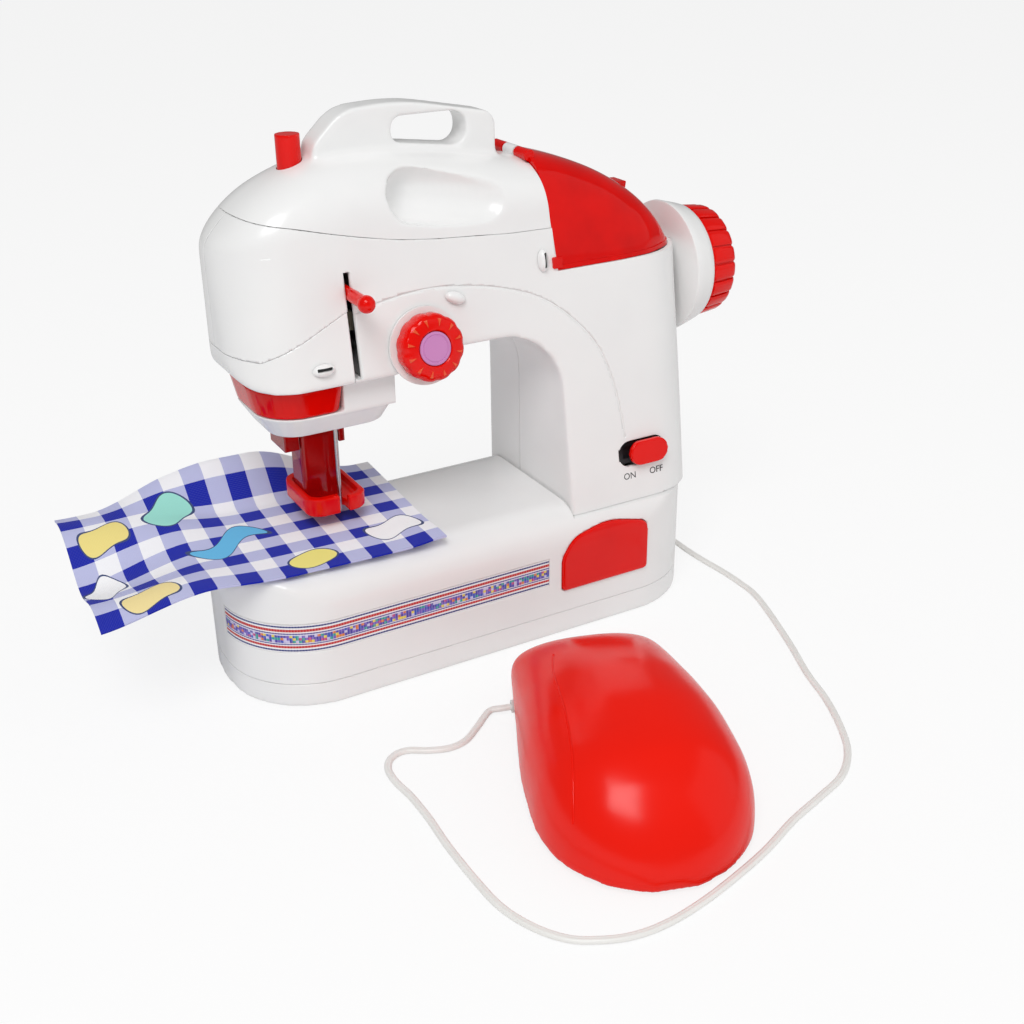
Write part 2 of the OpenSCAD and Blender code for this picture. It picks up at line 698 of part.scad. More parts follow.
function ring_about(c, t, r, n) =
    let (s = unit(cross(t, [0, 0, 1])), u = cross(s, t))
    [for (k = [0:n - 1]) let (a = -360 * (k + 0.5) / n) c + r * (cos(a) * s + sin(a) * u)];

// Cloth: a grid that lies flat near the foot and waves towards its free ends
cloth_n = [26, 16];
cloth_side = 28;
cloth_x0 = needle_x + cloth_side - cloth_l;
cloth_fore = 45;
cloth_y0 = arm_back - cloth_fore;
cloth_turn = -3;
cloth_wave = 3;
cloth_rise = 15;
cloth_past = 5.3;
cloth_fall = 0.18;
cloth_over = max(-base_l / 2 - cloth_past - cloth_x0, over);
cloth_lobes = 1.6;
function smooth(t) = let (c = min(max(t, 0), 1)) c * c * (3 - 2 * c);
function cloth_z(u, v) =
    let (l = smooth((0.55 - u) / 0.55), b = smooth((v - 0.74) / 0.26), r = smooth((u - 0.86) / 0.14),
         hump = smooth((u - 0.1) / 0.4) * (1 - smooth((u - 0.6) / 0.35)),
             end = smooth(1 - u * cloth_l / cloth_over))
    bed_z + seam + l * cloth_wave * (1 + sin(360 * cloth_lobes * v + 200 * u)) - cloth_over * cloth_fall * end
    + b * cloth_rise * hump + r * (1 - smooth((v - 0.05) / 0.25)) * cloth_wave / 2;
function cloth_point(i, j, up) =
    let (u = i / cloth_n[0], v = j / cloth_n[1],
         p = turn([cloth_l * (u - 1), cloth_w * v], cloth_turn))
    [cloth_x0 + cloth_l + p[0], cloth_y0 + p[1], cloth_z(u, v) + up];

// Base
rail_t = 2;
pilot_share = 0.8;
module base_pan() {
    color("white") difference() {
        union() {
            difference() {
                along_z(base_plan(0), 0, pan_h);
                along_z(base_plan(wall), wall, pan_h + over);
            }
            for (p = base_posts)
                rod_z(post_r, 0, pan_h, p[0], p[1]);
            for (x = [tray_x[0] + rail_t, tray_x[1] - 2 * rail_t])
                block([x, tray_y[0] + wall, wall / 2], [x + rail_t, tray_y[1], tray_z[0] - seam]);
            for (s = [-1, 1])
                block([cell_x - bay_l / 2,
                    s > 0 ? cell_l / 2 + seam + contact_t : -cell_l / 2 - seam - contact_t
                       - bay_wall, wall / 2],
                      [cell_x + bay_l / 2, s > 0 ? cell_l / 2 + seam + contact_t + bay_wall
                       : -cell_l / 2 - seam - contact_t, bay_h]);
        }
        for (p = base_posts) {
            rod_z(base_screw_r + run, -over, pan_h + over, p[0], p[1]);
            rod_z(screw_head_r + seam, -over, wall, p[0], p[1]);
        }
        block([cell_x - bay_l / 2 + bay_door_in, -cell_l / 2 + bay_door_in, -over],
              [cell_x + bay_l / 2 - bay_door_in, cell_l / 2 - bay_door_in, wall + over]);
        rod_x(gland_r + run, base_l / 2 - wall - over, base_l / 2 + over, base_gland_y, base_gland_z);
    }
}
module base_shell() {
    color("white") difference() {
        union() {
            difference() {
                base_form(0, pan_h + seam);
                base_form(wall, pan_h - over);
            }
            intersection() {
                for (p = base_posts)
                    rod_z(post_r, pan_h + seam, bed_z, p[0], p[1]);
                base_form(wall / 2, pan_h + seam);
            }
            intersection() {
                block([needle_plate_x - plate_l / 2 - wall, -plate_d / 2 + needle_y, bed_z - 2 * wall],
                      [needle_plate_x + plate_l / 2 + wall, plate_d / 2 + needle_y + wall, bed_z]);
                base_form(wall / 2, pan_h + seam);
            }
        }
        for (p = base_posts)
            rod_z(base_screw_r * pilot_share, pan_h, crease_z - 2 * wall, p[0], p[1]);
        along_y(rounded([for (p = drawer_outline) [p[0], p[1], 0]], -seam), -base_d,
            -base_d / 2 + bed_edge_r);
        block([needle_plate_x - plate_l / 2 - seam, needle_y - plate_d / 2 - seam, bed_z - plate_t],
              [needle_plate_x + plate_l / 2 + seam, needle_y + plate_d / 2 + seam, bed_z + over]);
        rod_z(needle_hole_r, pan_h, bed_z + over, needle_x, needle_y);
        band_region(band_depth, 0);
        block([throat_x + 2 * wall, front_y(crease_z) + 3 * wall, crease_z - 2 * wall],
              [base_l / 2 - post_in[0] - post_r - wall, arm_rear - 3 * wall, crease_z + over]);
    }
}
module band_region(depth, gap) {
    intersection() {
        difference() {
            along_z(base_plan(gap - over * (gap > 0 ? 0 : 1)), band_z[0] + gap, band_z[1] - gap);
            along_z(base_plan(depth), band_z[0] - over, band_z[1] + over);
        }
        block([-base_l, -base_d, 0], [band_end - gap, base_d * (band_back_share - 0.5), bed_z]);
    }
}
module trim_band() {
    color("plum") band_region(band_depth, band_depth - band_t);
}
module battery_door() {
    color("white") block([cell_x - bay_l / 2 + bay_door_in + seam, -cell_l / 2 + bay_door_in + seam, 0],
                         [cell_x + bay_l / 2 - bay_door_in - seam, cell_l / 2 - bay_door_in - seam, wall]);
}
module battery_cells() {
    nub = [2.7, 1];
    color("gray") for (k = [0:cell_count - 1]) {
        x = cell_x + (k - (cell_count - 1) / 2) * (2 * cell_r + cell_gap);
        rod_y(cell_r, -cell_l / 2, cell_l / 2 - nub[1], x, cell_z);
        rod_y(nub[0], cell_l / 2 - nub[1] - seam, cell_l / 2, x, cell_z);
    }
}
module battery_contacts() {
    color("silver") for (y = [-cell_l / 2 - seam - contact_t, cell_l / 2 + seam])
        block([cell_x - bay_l / 2 + cell_gap, y, wall + seam],
              [cell_x + bay_l / 2 - cell_gap, y + contact_t, cell_z + cell_r]);
}
module base_screws() {
    color("silver") for (p = base_posts) {
        rod_z(base_screw_r, seam, pan_h, p[0], p[1]);
        rod_z(screw_head_r, seam, wall, p[0], p[1]);
    }
}
module needle_plate() {
    color("lightgray") difference() {
        block([needle_plate_x - plate_l / 2, needle_y - plate_d / 2, bed_z - plate_t],
              [needle_plate_x + plate_l / 2, needle_y + plate_d / 2, bed_z]);
        rod_z(needle_hole_r, bed_z - 2 * plate_t, bed_z + over, needle_x, needle_y);
    }
}
module drawer_front() {
    color("red") intersection() {
        difference() {
            base_form(-drawer_proud, pan_h);
            base_form(wall, pan_h - over);
        }
        along_y(drawer_outline, -base_d, -base_d / 2 + bed_edge_r);
    }
}
module drawer_tray() {
    color("white") difference() {
        block([tray_x[0], tray_y[0], tray_z[0]], [tray_x[1], tray_y[1], tray_z[1]]);
        block([tray_x[0] + drawer_floor, tray_y[0] + drawer_floor, tray_z[0] + drawer_floor],
              [tray_x[1] - drawer_floor, tray_y[1] - drawer_floor, tray_z[1] + over]);
    }
}

// Arm and pillar
module body_shell() {
    difference() {
        union() {
            difference() {
                arm_form(0, 0);
                arm_form(wall, 2 * wall);
            }
            intersection() {
                for (p = shell_posts)
                    rod_y(shell_post_r, -big, big, p[0], p[1]);
                body_form(wall / 2, 0);
            }
        }
        block([bar_window_x[0], bar_window_y[0], nose_z - over],
              [bar_window_x[1], bar_window_y[1], nose_z + 2 * wall]);
        rod_x(bush_r + run, pillar_r - 2 * wall, pillar_r + side_draft + 2 * wall, arm_back, shaft_z);
        along_y(seam_region(-seam / 2));
    }
}
module slot_cut() {
    block([slot_x - slot_w / 2, -base_d, slot_z[0]], [slot_x + slot_w / 2, arm_back - arm_d / 4, slot_z[1]]);
}
module switch_slot() {
    on_front(switch_x, switch_z)
        block([-switch_l / 2 - switch_travel / 2 - seam, -2 * wall, -switch_h / 4],
              [switch_l / 2 + switch_travel / 2 + seam, 3 * wall, switch_h / 4]);
}
module body_front() {
    color("white") difference() {
        body_shell();
        block([-big, arm_back - seam / 2, 0], [big, big, big]);
        along_y(nose_region(seam));
        slot_cut();
        switch_slot();
        on_front(dial_x, dial_z) rod_y(dial_stud_r + run, -3 * wall, 3 * wall, 0, 0);
        for (p = shell_posts)
            rod_y(shell_screw_r + run, arm_front / 2, big, p[0], p[1]);
    }
}
module body_rear() {
    color("white") difference() {
        body_shell();
        block([-big, -big, 0], [big, arm_back + seam / 2, big]);
        along_y(nose_region(seam));
        for (p = shell_posts) {
            rod_y(shell_screw_r + run, 0, big, p[0], p[1]);
            rod_y(screw_head_r + seam, arm_rear - 2 * shell_head_h, big, p[0], p[1]);
        }
    }
}
module shell_screws() {
    color("silver") for (p = shell_posts) {
        rod_y(shell_screw_r, arm_front / 2 + seam, arm_rear - 2 * shell_head_h, p[0], p[1]);
        rod_y(screw_head_r, arm_rear - 2 * shell_head_h, arm_rear - shell_head_h, p[0], p[1]);
    }
}
module nose_cover() {
    color("white") intersection() {
        difference() {
            body_form(0, 0);
            body_form(wall, 2 * wall);
            block([bar_window_x[0], bar_window_y[0], nose_z - over],
                  [bar_window_x[1], bar_window_y[1], nose_z + 2 * wall]);
        }
        along_y(nose_region(0));
    }
}
module scoop(grow, s) {
    hull() for (k = [0, 1])
        translate([scoop_x[k], arm_back + s * (arm_d / 2 - scoop_in[k]), scoop_z[k]])
            sphere(r = scoop_r * scoop_taper[k] + grow, $fn = 32);
}
module top_cover() {
    color("white") difference() {
        union() {
            intersection() {
                difference() {
                    arm_form(0, 0);
                    arm_form(wall, 2 * wall);
                }
                along_y(seam_region(seam / 2));
            }
            intersection() {
                union() {
                    along_y(rounded([
                        [handle_x0, handle_foot_z, 0], [handle_x0 + handle_l, handle_foot_z, 0],
                        [handle_x0 + handle_l, handle_z - handle_drop, handle_end_r],
                        [handle_x0 + handle_l * handle_crest_share, handle_z + seam, handle_crest_r],
                        [handle_x0 + edge_r, handle_z - seam, handle_left_r]]),
                        arm_back - handle_t / 2, arm_back + handle_t / 2);
                    for (s = [-1, 1])
                        intersection() {
                            scoop(wall, s);
                            loft(dome_rings(wall / 2));
                        }
                    for (s = [-1, 1])
                        rod_y(hinge_r, arm_back + (s > 0 ? 0 : -hinge_y[0]),
                              arm_back + (s > 0 ? hinge_y[0] : 0), hinge_x, hinge_z);
                }
                along_y(seam_region(seam / 2));
            }
        }
        along_y(lid_cut_left());
        for (s = [-1, 1])
            scoop(0, s);
        along_y(rounded([
            [handle_x0 + hole_in[0], dome_z + hole_rise, hole_r * hole_taper],
            [handle_x0 + handle_l - hole_in[1], dome_z - hole_sink, hole_r],
            [handle_x0 + handle_l - hole_in[1], handle_z - handle_bar, hole_r],
            [handle_x0 + hole_in[0], handle_z - handle_bar, hole_r * hole_taper]]),
            arm_back - handle_t, arm_back + handle_t);
        rod_z(knob_r + seam, seam_z, handle_z, presser_x, presser_y);
        rod_y(hinge_pin_r + run, arm_back - arm_d / 2, arm_back + arm_d / 2, hinge_x, hinge_z);
        for (s = [-1, 1])
            rod_y(hinge_r + seam, arm_back + (s > 0 ? hinge_y[0] + seam : -hinge_y[1] - seam),
                  arm_back + (s > 0 ? hinge_y[1] + seam : -hinge_y[0] - seam), hinge_x, hinge_z);
    }
}
// Everything right of the lid's left edge, but for the middle knuckle of the hinge
function lid_cut_left() = [[lid_side(lid_z - over) - seam, lid_z - over], [base_l, lid_z - over],
    [base_l, handle_z],
                           [lid_side(handle_z) - seam, handle_z]];

// Thread compartment
module thread_lid() {
    color("red", 0.6) difference() {
        union() {
            intersection() {
                difference() {
                    loft(lid_rings(0));
                    loft(lid_rings(lid_wall));
                }
                along_y(lid_cut);
            }
            for (s = [-1, 1])
                rod_y(hinge_r, arm_back + (s > 0 ? hinge_y[0] + 2 * seam : -hinge_y[1]),
                      arm_back + (s > 0 ? hinge_y[1] : -hinge_y[0] - 2 * seam), hinge_x, hinge_z);
            lid_tab_x = lid_top_x + (pillar_r - lid_top_x) * lid_tab_share;
            block([lid_tab_x - lid_tab[1], arm_back - lid_tab[0] / 2, lid_z + lid_rise * 0.66],
                  [lid_tab_x, arm_back + lid_tab[0] / 2, lid_z + lid_rise * 0.74 + lid_tab[2]]);
        }
        rod_y(hinge_pin_r + run, arm_back - arm_d, arm_back + arm_d, hinge_x, hinge_z);
        rod_y(hinge_r + seam, arm_back - hinge_y[0] - seam, arm_back + hinge_y[0] + seam, hinge_x, hinge_z);
    }
}
module lid_pin() {
    color("silver") rod_y(hinge_pin_r, arm_back - hinge_y[1], arm_back + hinge_y[1], hinge_x, hinge_z);
}
module spool_tray() {
    color("dimgray") difference() {
        intersection() {
            block([lid_side(lid_z) + seam, -base_d, spool_tray_z], [base_l, base_d, lid_z]);
            body_form(wall + tray_gap, 2 * wall + lid_drop);
        }
        rod_z(spool_pin_r + run, spool_tray_z - over, lid_z + over, spool_x, arm_back);
        for (p = shell_posts)
            rod_y(shell_post_r + seam, -big, big, p[0], p[1]);
    }
}
module spool_pin() {
    color("white") {
        rod_z(spool_pin_r, spool_tray_z, lid_z + spool_h + 2 * spool_flange, spool_x, arm_back);
    }
}
module thread_spool() {
    color("ivory") translate([spool_x, arm_back, lid_z + seam]) rotate_extrude() polygon([
        [spool_pin_r + run, 0], [spool_r, 0], [spool_r, spool_flange], [spool_core_r, spool_flange],
        [spool_core_r, spool_h - spool_flange], [spool_r, spool_h - spool_flange], [spool_r, spool_h],
        [spool_pin_r + run, spool_h]]);
}

// Drive
module about_shaft(x) {
    translate([x, arm_back, shaft_z]) rotate([0, 90, 0]) children();
}
module wheel_collar() {
    color("white") about_shaft(collar_x) difference() {
        cylinder(h = collar_l, r1 = collar_r[0], r2 = collar_r[1]);
        translate([0, 0, -over]) cylinder(h = collar_l + 2 * over, r = bush_r + run);
    }
}
module handwheel() {
    taper_share = 0.89;
    flute_r_share = 0.12;
    hub_share = 0.3;
    lip = 3;
    color("red") about_shaft(wheel_x) difference() {
        cylinder(h = wheel_w, r1 = wheel_r, r2 = wheel_r * taper_share);
        translate([0, 0, wheel_w - lip]) difference() {
            cylinder(h = lip + over, r = wheel_r * taper_share - lip);
            translate([0, 0, -over]) cylinder(h = lip + 3 * over, r = wheel_r * hub_share);
        }
        for (k = [0:wheel_flutes - 1])
            rotate([0, 0, 360 * k / wheel_flutes]) translate([wheel_r * (1 + flute_r_share / 2), 0, -over])
                cylinder(h = wheel_w + 2 * over, r = wheel_r * flute_r_share);
        translate([0, 0, -over]) cylinder(h = wheel_w - lip, r = shaft_r + run / 2);
    }
}
module main_shaft() {
    color("silver") rod_x(shaft_r, crank_x + seam, wheel_x + wheel_w - 2 * lug, arm_back, shaft_z);
}
module shaft_bushes() {
    color("goldenrod") for (x = [left_bush_x, mid_bush_x, collar_x])
        about_shaft(x) difference() {
            cylinder(h = bush_l, r = bush_r);
            translate([0, 0, -over]) cylinder(h = bush_l + 2 * over, r = shaft_r + run);
        }
}
module drive_gear() {
    color("gold") about_shaft(gear_x) difference() {
        linear_extrude(gear_w) polygon(gear_outline(gear_teeth));
        translate([0, 0, -over]) cylinder(h = gear_w + 2 * over, r = shaft_r + run / 2);
    }
}
module crank_disc() {
    color("silver") {
        difference() {
            rod_x(crank_disc_r, crank_x, crank_x + crank_t, arm_back, shaft_z);
            rod_x(shaft_r + run / 2, crank_x + seam, crank_x + crank_t + over, arm_back, shaft_z);
        }
        rod_x(crank_pin_r, yoke_x[1] + seam, crank_x + over, arm_back - crank_r * cos(crank_a),
              shaft_z + crank_r * sin(crank_a));
    }
}
module mechanism_frame() {
    color("lightsteelblue") difference() {
        union() {
            block([left_bush_x, frame_y, frame_low_z], [gear_x - seam, frame_y + frame_t,
                shaft_z + bush_r + lug]);
            for (x = [left_bush_x, mid_bush_x])
                block([x, arm_back - bush_r - lug / 2, frame_low_z],
                      [x + bush_l, frame_y + frame_t / 2, shaft_z + bush_r + lug / 2]);
            block([motor_x, arm_back + motor_d / 2 + seam, pinion_z - motor_h / 2],
                  [motor_x + motor_l, frame_y + frame_t, shaft_z]);
            for (x = [left_bush_x + bush_l, mid_bush_x])
                rod_y(lug, frame_y, arm_rear - wall - seam, x, shaft_z);
        }
        for (x = [left_bush_x, mid_bush_x])
            rod_x(bush_r + run / 2, x - over, x + bush_l + over, arm_back, shaft_z);
    }
}
module motor() {
    boss = [3, 1.5];
    color("silver") difference() {
        union() {
            intersection() {
                rod_x(motor_d / 2, motor_x, motor_x + motor_l, arm_back, pinion_z);
                block([motor_x, -big, pinion_z - motor_h / 2], [motor_x + motor_l, big,
                    pinion_z + motor_h / 2]);
            }
            rod_x(boss[0], motor_x + motor_l - over, motor_x + motor_l + boss[1], arm_back, pinion_z);
        }
        rod_x(motor_shaft_r + run, motor_x + motor_l / 2, motor_x + motor_l + 2 * boss[1], arm_back,
            pinion_z);
    }
}
module motor_shaft() {
    color("silver") rod_x(motor_shaft_r, motor_x + motor_l / 2 + seam, gear_x + gear_w + over, arm_back,
        pinion_z);
}
module motor_pinion() {
    phase = 180 / pinion_teeth;
    color("gold") translate([gear_x - over, arm_back, pinion_z]) rotate([0, 90, 0]) difference() {
        linear_extrude(gear_w + 2 * over) rotate(180 + phase) polygon(gear_outline(pinion_teeth));
        translate([0, 0, -over]) cylinder(h = gear_w + 4 * over, r = motor_shaft_r + run / 2);
    }
}

// Head
module head_frame() {
    color("lightsteelblue") difference() {
        union() {
            block([head_frame_x[0], presser_y + guide_back, lower_guide_z],
                  [head_frame_x[1], presser_y + guide_back + frame_t, upper_guide_z + guide_t]);
            for (z = [lower_guide_z, upper_guide_z])
                block([head_frame_x[0], needle_y - guide_front, z],
                      [head_frame_x[1], presser_y + guide_back + over, z + guide_t]);
            rod_y(lug, presser_y + guide_back + over, arm_rear - wall - seam, presser_x, upper_guide_z);
        }
        rod_z(needle_bar_r + run, 0, big, needle_x, needle_y);
        rod_z(presser_bar_r + run, 0, big, presser_x, presser_y);
    }
}
clamp_h = 7;
clamp_r = 4;
clamp_drop = 3;
clamp_z = plate_z - clamp_drop;
needle_clear = 4;
needle_tip_z = foot_low_z + needle_clear;
needle_bar_past = 4;
yoke_wall = 1.6;
yoke_half = 2.5;
yoke_past = 3;
module needle_bar() {
    color("silver") rod_z(needle_bar_r, clamp_z + clamp_h / 2, upper_guide_z + guide_t + needle_bar_past,
        needle_x, needle_y);
}
module needle_yoke() {
    color("gold") difference() {
        union() {
            rod_z(needle_bar_r + yoke_wall, yoke_z - yoke_h / 2, yoke_z + yoke_h / 2, needle_x, needle_y);
            block([needle_x, needle_y - yoke_half, yoke_z - yoke_h / 2], [yoke_x[1], needle_y + yoke_half,
                yoke_z + yoke_h / 2]);
            block([yoke_x[0], needle_y - yoke_half, yoke_z - yoke_h / 2],
                  [yoke_x[1], arm_back + crank_r + yoke_past, yoke_z + yoke_h / 2]);
        }
        rod_z(needle_bar_r + run / 2, 0, big, needle_x, needle_y);
        block([yoke_x[0] - over, arm_back - crank_r - crank_pin_r, yoke_z - crank_pin_r - seam],
              [yoke_x[1] + over, arm_back + crank_r + crank_pin_r, yoke_z + crank_pin_r + seam]);
    }
}
module needle_clamp() {
    color("silver") difference() {
        rod_z(clamp_r, clamp_z, clamp_z + clamp_h, needle_x, needle_y);
        rod_z(needle_bar_r + run / 2, clamp_z + clamp_h / 2, big, needle_x, needle_y);
        rod_z(needle_r + run / 2, 0, big, needle_x, needle_y);
    }
}
module needle() {
    point = 5;
    color("silver") {
        rod_z(needle_r, needle_tip_z + point, clamp_z + clamp_h / 2, needle_x, needle_y);
        translate([needle_x, needle_y, needle_tip_z]) cylinder(h = point, r1 = needle_r / 4, r2 = needle_r);
    }
}
module take_up_lever() {
    color("red") difference() {
        union() {
            rod_z(needle_bar_r + yoke_wall, take_up_z, take_up_z + take_up_h, needle_x, needle_y);
            block([slot_x - take_up_t / 2, front_y(take_up_z) - take_up_out, take_up_z],
                  [slot_x + take_up_t / 2, needle_y, take_up_z + take_up_h]);
            rod_y(take_up_rod_r, front_y(take_up_z) - take_up_out,
                front_y(take_up_z - needle_stroke) - over, slot_x,
                  take_up_z + take_up_h / 2);
            translate([slot_x, front_y(take_up_z) - take_up_out, take_up_z + take_up_h / 2])
                sphere(r = take_up_ball_r);
        }
        rod_z(needle_bar_r + run / 2, 0, big, needle_x, needle_y);
    }
}
module presser_bar() {
    color("silver") {
        rod_z(presser_bar_r, shank_top - bar_grip, seam_z + knob_rise - knob_grip, presser_x, presser_y);
        rod_z(collar_ring_r, presser_stop_z, presser_stop_z + collar_ring_t, presser_x, presser_y);
    }
}
module presser_knob() {
    color("red") difference() {
        rod_z(knob_r, seam_z + knob_rise - knob_l, seam_z + knob_rise, presser_x, presser_y);
        rod_z(presser_bar_r + run / 2, 0, seam_z + knob_rise - knob_grip, presser_x, presser_y);
    }
}
module presser_spring() {
    color("silver") difference() {
        rod_z(spring_r, presser_stop_z + collar_ring_t + seam, upper_guide_z - seam, presser_x, presser_y);
        rod_z(spring_r - spring_t, 0, big, presser_x, presser_y);
    }
}
module presser_foot() {
    x0 = presser_x - foot_w / 2 + foot_side;
    color("red") difference() {
        union() {
            along_z(rounded([[x0, foot_y0, foot_corner_r[0]], [x0 + foot_w, foot_y0, foot_corner_r[0]],
                [x0 + foot_w, foot_y0 + foot_d, foot_corner_r[1]],
                [x0, foot_y0 + foot_d, foot_corner_r[1]]]), foot_z, foot_z + foot_t);
            block([shank_x[0], shank_y[0], foot_z], [shank_x[1], shank_y[1], shank_top]);
        }
        rod_z(foot_slot_r, 0, foot_z + 2 * foot_t, needle_x, needle_y);
        block([needle_x - foot_slot_r, foot_y0 - over, 0], [needle_x + foot_slot_r, needle_y,
            foot_z + 2 * foot_t]);
        rod_z(presser_bar_r + run / 2, shank_top - bar_grip, big, presser_x, presser_y);
    }
}
function stack_outline(x1, d) = rounded([
    [stack_left, stack_y[0], stack_r], [x1, stack_y[0], 2 * d + edge_r], [x1, stack_y[1], 2 * d + edge_r],
    [stack_left, stack_y[1], stack_r]], d);
module head_plate() {
    color("white") difference() {
        union() {
            hull() {
                along_z(stack_outline(block_x + plate_taper, plate_taper), plate_z, plate_z + seam);
                along_z(stack_outline(block_x + lamp_taper, lamp_taper), lamp_z - 2 * seam, lamp_z - seam);
            }
            block([lamp_right + seam, stack_y[0] + lamp_taper, lamp_z - over - seam],
                  [block_x, stack_y[1] - lamp_taper, nose_z - seam]);
        }
        block([shank_x[0] - shank_clear, needle_y - clamp_r - shank_clear, plate_z - over],
              [max(shank_x[1], needle_x + clamp_r) + shank_clear, shank_y[1] + shank_clear, nose_z]);
    }
}
module lamp_window() {
    color("red", 0.6) difference() {
        hull() {
            along_z(stack_outline(lamp_right + lamp_taper, lamp_taper), lamp_z, lamp_z + seam);
            along_z(stack_outline(lamp_right, 0), lamp_z + lamp_h - seam, lamp_z + lamp_h);
        }
        along_z(stack_outline(lamp_right + 3 * wall, wall + lamp_taper), lamp_z - over,
            lamp_z + lamp_h + over);
    }
}
module lamp_led() {
    led_r = 2.5;
    color("white") {
        rod_z(led_r, lamp_z, lamp_z + lamp_h / 2, stack_left + 3 * led_r, arm_back - 4 * led_r);
        translate([stack_left + 3 * led_r, arm_back - 4 * led_r, lamp_z + lamp_h / 2]) sphere(r = led_r);
    }
}
module needle_guard() {
    color("red", 0.6) difference() {
        block([shank_x[0] - shank_clear - guard_wall, shank_y[0], plate_z - seam - guard_h],
              [shank_x[1] + shank_clear + wall, shank_y[1] + shank_clear + wall, plate_z - seam]);
        block([shank_x[0] - shank_clear, shank_y[0] - over, 0],
              [shank_x[1] + shank_clear, shank_y[1] + shank_clear, plate_z]);
    }
}

// Controls
dial_stand = 1.2;
dial_stud_r = 2.2;
module tension_dial() {
    scallop_r_share = 0.14;
    color("red") on_front(dial_x, dial_z) difference() {
        rod_y(dial_r, -dial_stand - dial_t, -dial_stand, 0, 0);
        for (k = [0:dial_scallops - 1])
            rotate([0, 360 * k / dial_scallops, 0])
                rod_y(dial_r * scallop_r_share, -dial_stand - dial_t - over, over - dial_stand, dial_r, 0);
        rod_y(dial_r / 2, -dial_stand - dial_t - over, -dial_stand - dial_t + over, 0, 0);
        rod_y(shaft_r + run, -dial_stand - dial_t / 2, over, 0, 0);
    }
}
module dial_cap() {
    color("plum") on_front(dial_x, dial_z)
        rod_y(dial_r / 2 - run, -dial_stand - dial_t + over / 5, -dial_stand - dial_t + over, 0, 0);
}
dial_boss_share = 1.15;
dial_stud_past = 1;
module dial_post() {
    color("white") on_front(dial_x, dial_z) {
        rod_y(shaft_r, -dial_stand - dial_t / 2 + seam, -run, 0, 0);
        rod_y(dial_r * dial_boss_share, -dial_stand + seam, -run, 0, 0);
        rod_y(dial_stud_r, -run - over / 2, wall + dial_stud_past, 0, 0);
    }
}
module power_switch() {
    cap_out = 2.6;
    stem = 3;
    color("red") on_front(switch_x, switch_z) {
        translate([switch_travel / 2, 0, 0]) {
            for (s = [-1, 1])
                rod_y(switch_h / 2, -cap_out, -seam, s * (switch_l - switch_h) / 2, 0);
            block([-(switch_l - switch_h) / 2, -cap_out, -switch_h / 2], [(switch_l - switch_h) / 2,
                -seam, switch_h / 2]);
            block([-stem, -seam - over, -switch_h / 4 + seam], [stem, 2 * wall, switch_h / 4 - seam]);
        }
    }
}
module switch_body() {
    size = [20, 7, 9];
    back = wall + 2 * seam;
    color("dimgray") on_front(switch_x, switch_z) difference() {
        block([-size[0] / 2, back, -size[2] / 2], [size[0] / 2, back + size[1], size[2] / 2]);
        block([-size[0] / 2 + wall, wall, -switch_h / 4], [size[0] / 2 - wall, back + wall, switch_h / 4]);
    }
}
guide_size = [8.5, 2.3, 2.2];
module thread_guide(x, z, a) {
    on_front(x, z) rotate([0, a, 0]) difference() {
        union() {
            for (s = [-1, 1])
                rod_y(guide_size[1], -guide_size[2], -run, s * (guide_size[0] / 2 - guide_size[1]), 0);
            block([-guide_size[0] / 2 + guide_size[1], -guide_size[2], -guide_size[1]],
                  [guide_size[0] / 2 - guide_size[1], -run, guide_size[1]]);
        }
        block([-guide_size[0] / 3, -guide_size[2] - over, -2 * seam], [guide_size[0] / 3,
            -guide_size[2] / 2, 2 * seam]);
    }
}
guide_side = [11, 4.5, 43];
guide_up = [8, 5, 3];
guide_turns = [0, 90, 20];
module thread_guides() {
    color("white") {
        thread_guide(needle_x - guide_side[0], nose_z + guide_up[0], guide_turns[0]);
        thread_guide(throat_x - guide_side[1], lid_z + guide_up[1], guide_turns[1]);
        thread_guide(needle_x + guide_side[2], lid_z - guide_up[2], guide_turns[2]);
    }
}

// Cord and pedal
gland_flange_share = 1.3;
module cord_gland() {
    color("white") difference() {
        union() {
            rod_x(gland_r, base_l / 2 - 2 * wall, base_l / 2 + base_gland_l - wall, base_gland_y,
                base_gland_z);
            rod_x(gland_r * gland_flange_share, base_l / 2 - 2 * wall, base_l / 2 - wall - seam / 2,
                base_gland_y, base_gland_z);
        }
        rod_x(cord_r + cord_clear, base_l / 2 - wall, base_l, base_gland_y, base_gland_z);
    }
}
module cord() {
    color("white") loft([for (i = [0:len(cord_path) - 1]) ring_about(cord_path[i], path_dir(i), cord_r,
        cord_sides)]);
}
module pedal_gland() {
    color("white") at_pedal() difference() {
        rod_x(gland_r, pedal_gland_v, pedal_gland_v + gland_l, pedal_gland_u, gland_z);
        rod_x(cord_r + cord_clear, pedal_gland_v - over, pedal_gland_v + gland_l - wall, pedal_gland_u,
            gland_z);
    }
}
module pedal_base() {
    color("red") at_pedal() difference() {
        union() {
            along_z(pedal_plate_outline, 0, pedal_plate_t);
            for (s = [-1, 1])
                block([s * pedal_lug_v[1] - pedal_lug_t / 2, pedal_hinge_u - pedal_lug, 0],
                      [s * pedal_lug_v[1] + pedal_lug_t / 2, pedal_hinge_u + pedal_lug,
                          pedal_hinge_z + pedal_lug / 2]);
            rod_z(pedal_spring_r - pedal_seat_in, 0, pedal_plate_t + pedal_seat_h, 0, pedal_spring_u);
        }
        rod_x(pedal_pin_r + run, -pedal_w, pedal_w, pedal_hinge_u, pedal_hinge_z);
        rod_x(gland_r + run, -pedal_w, pedal_gland_v + gland_l + seam, pedal_gland_u, gland_z);
    }
}
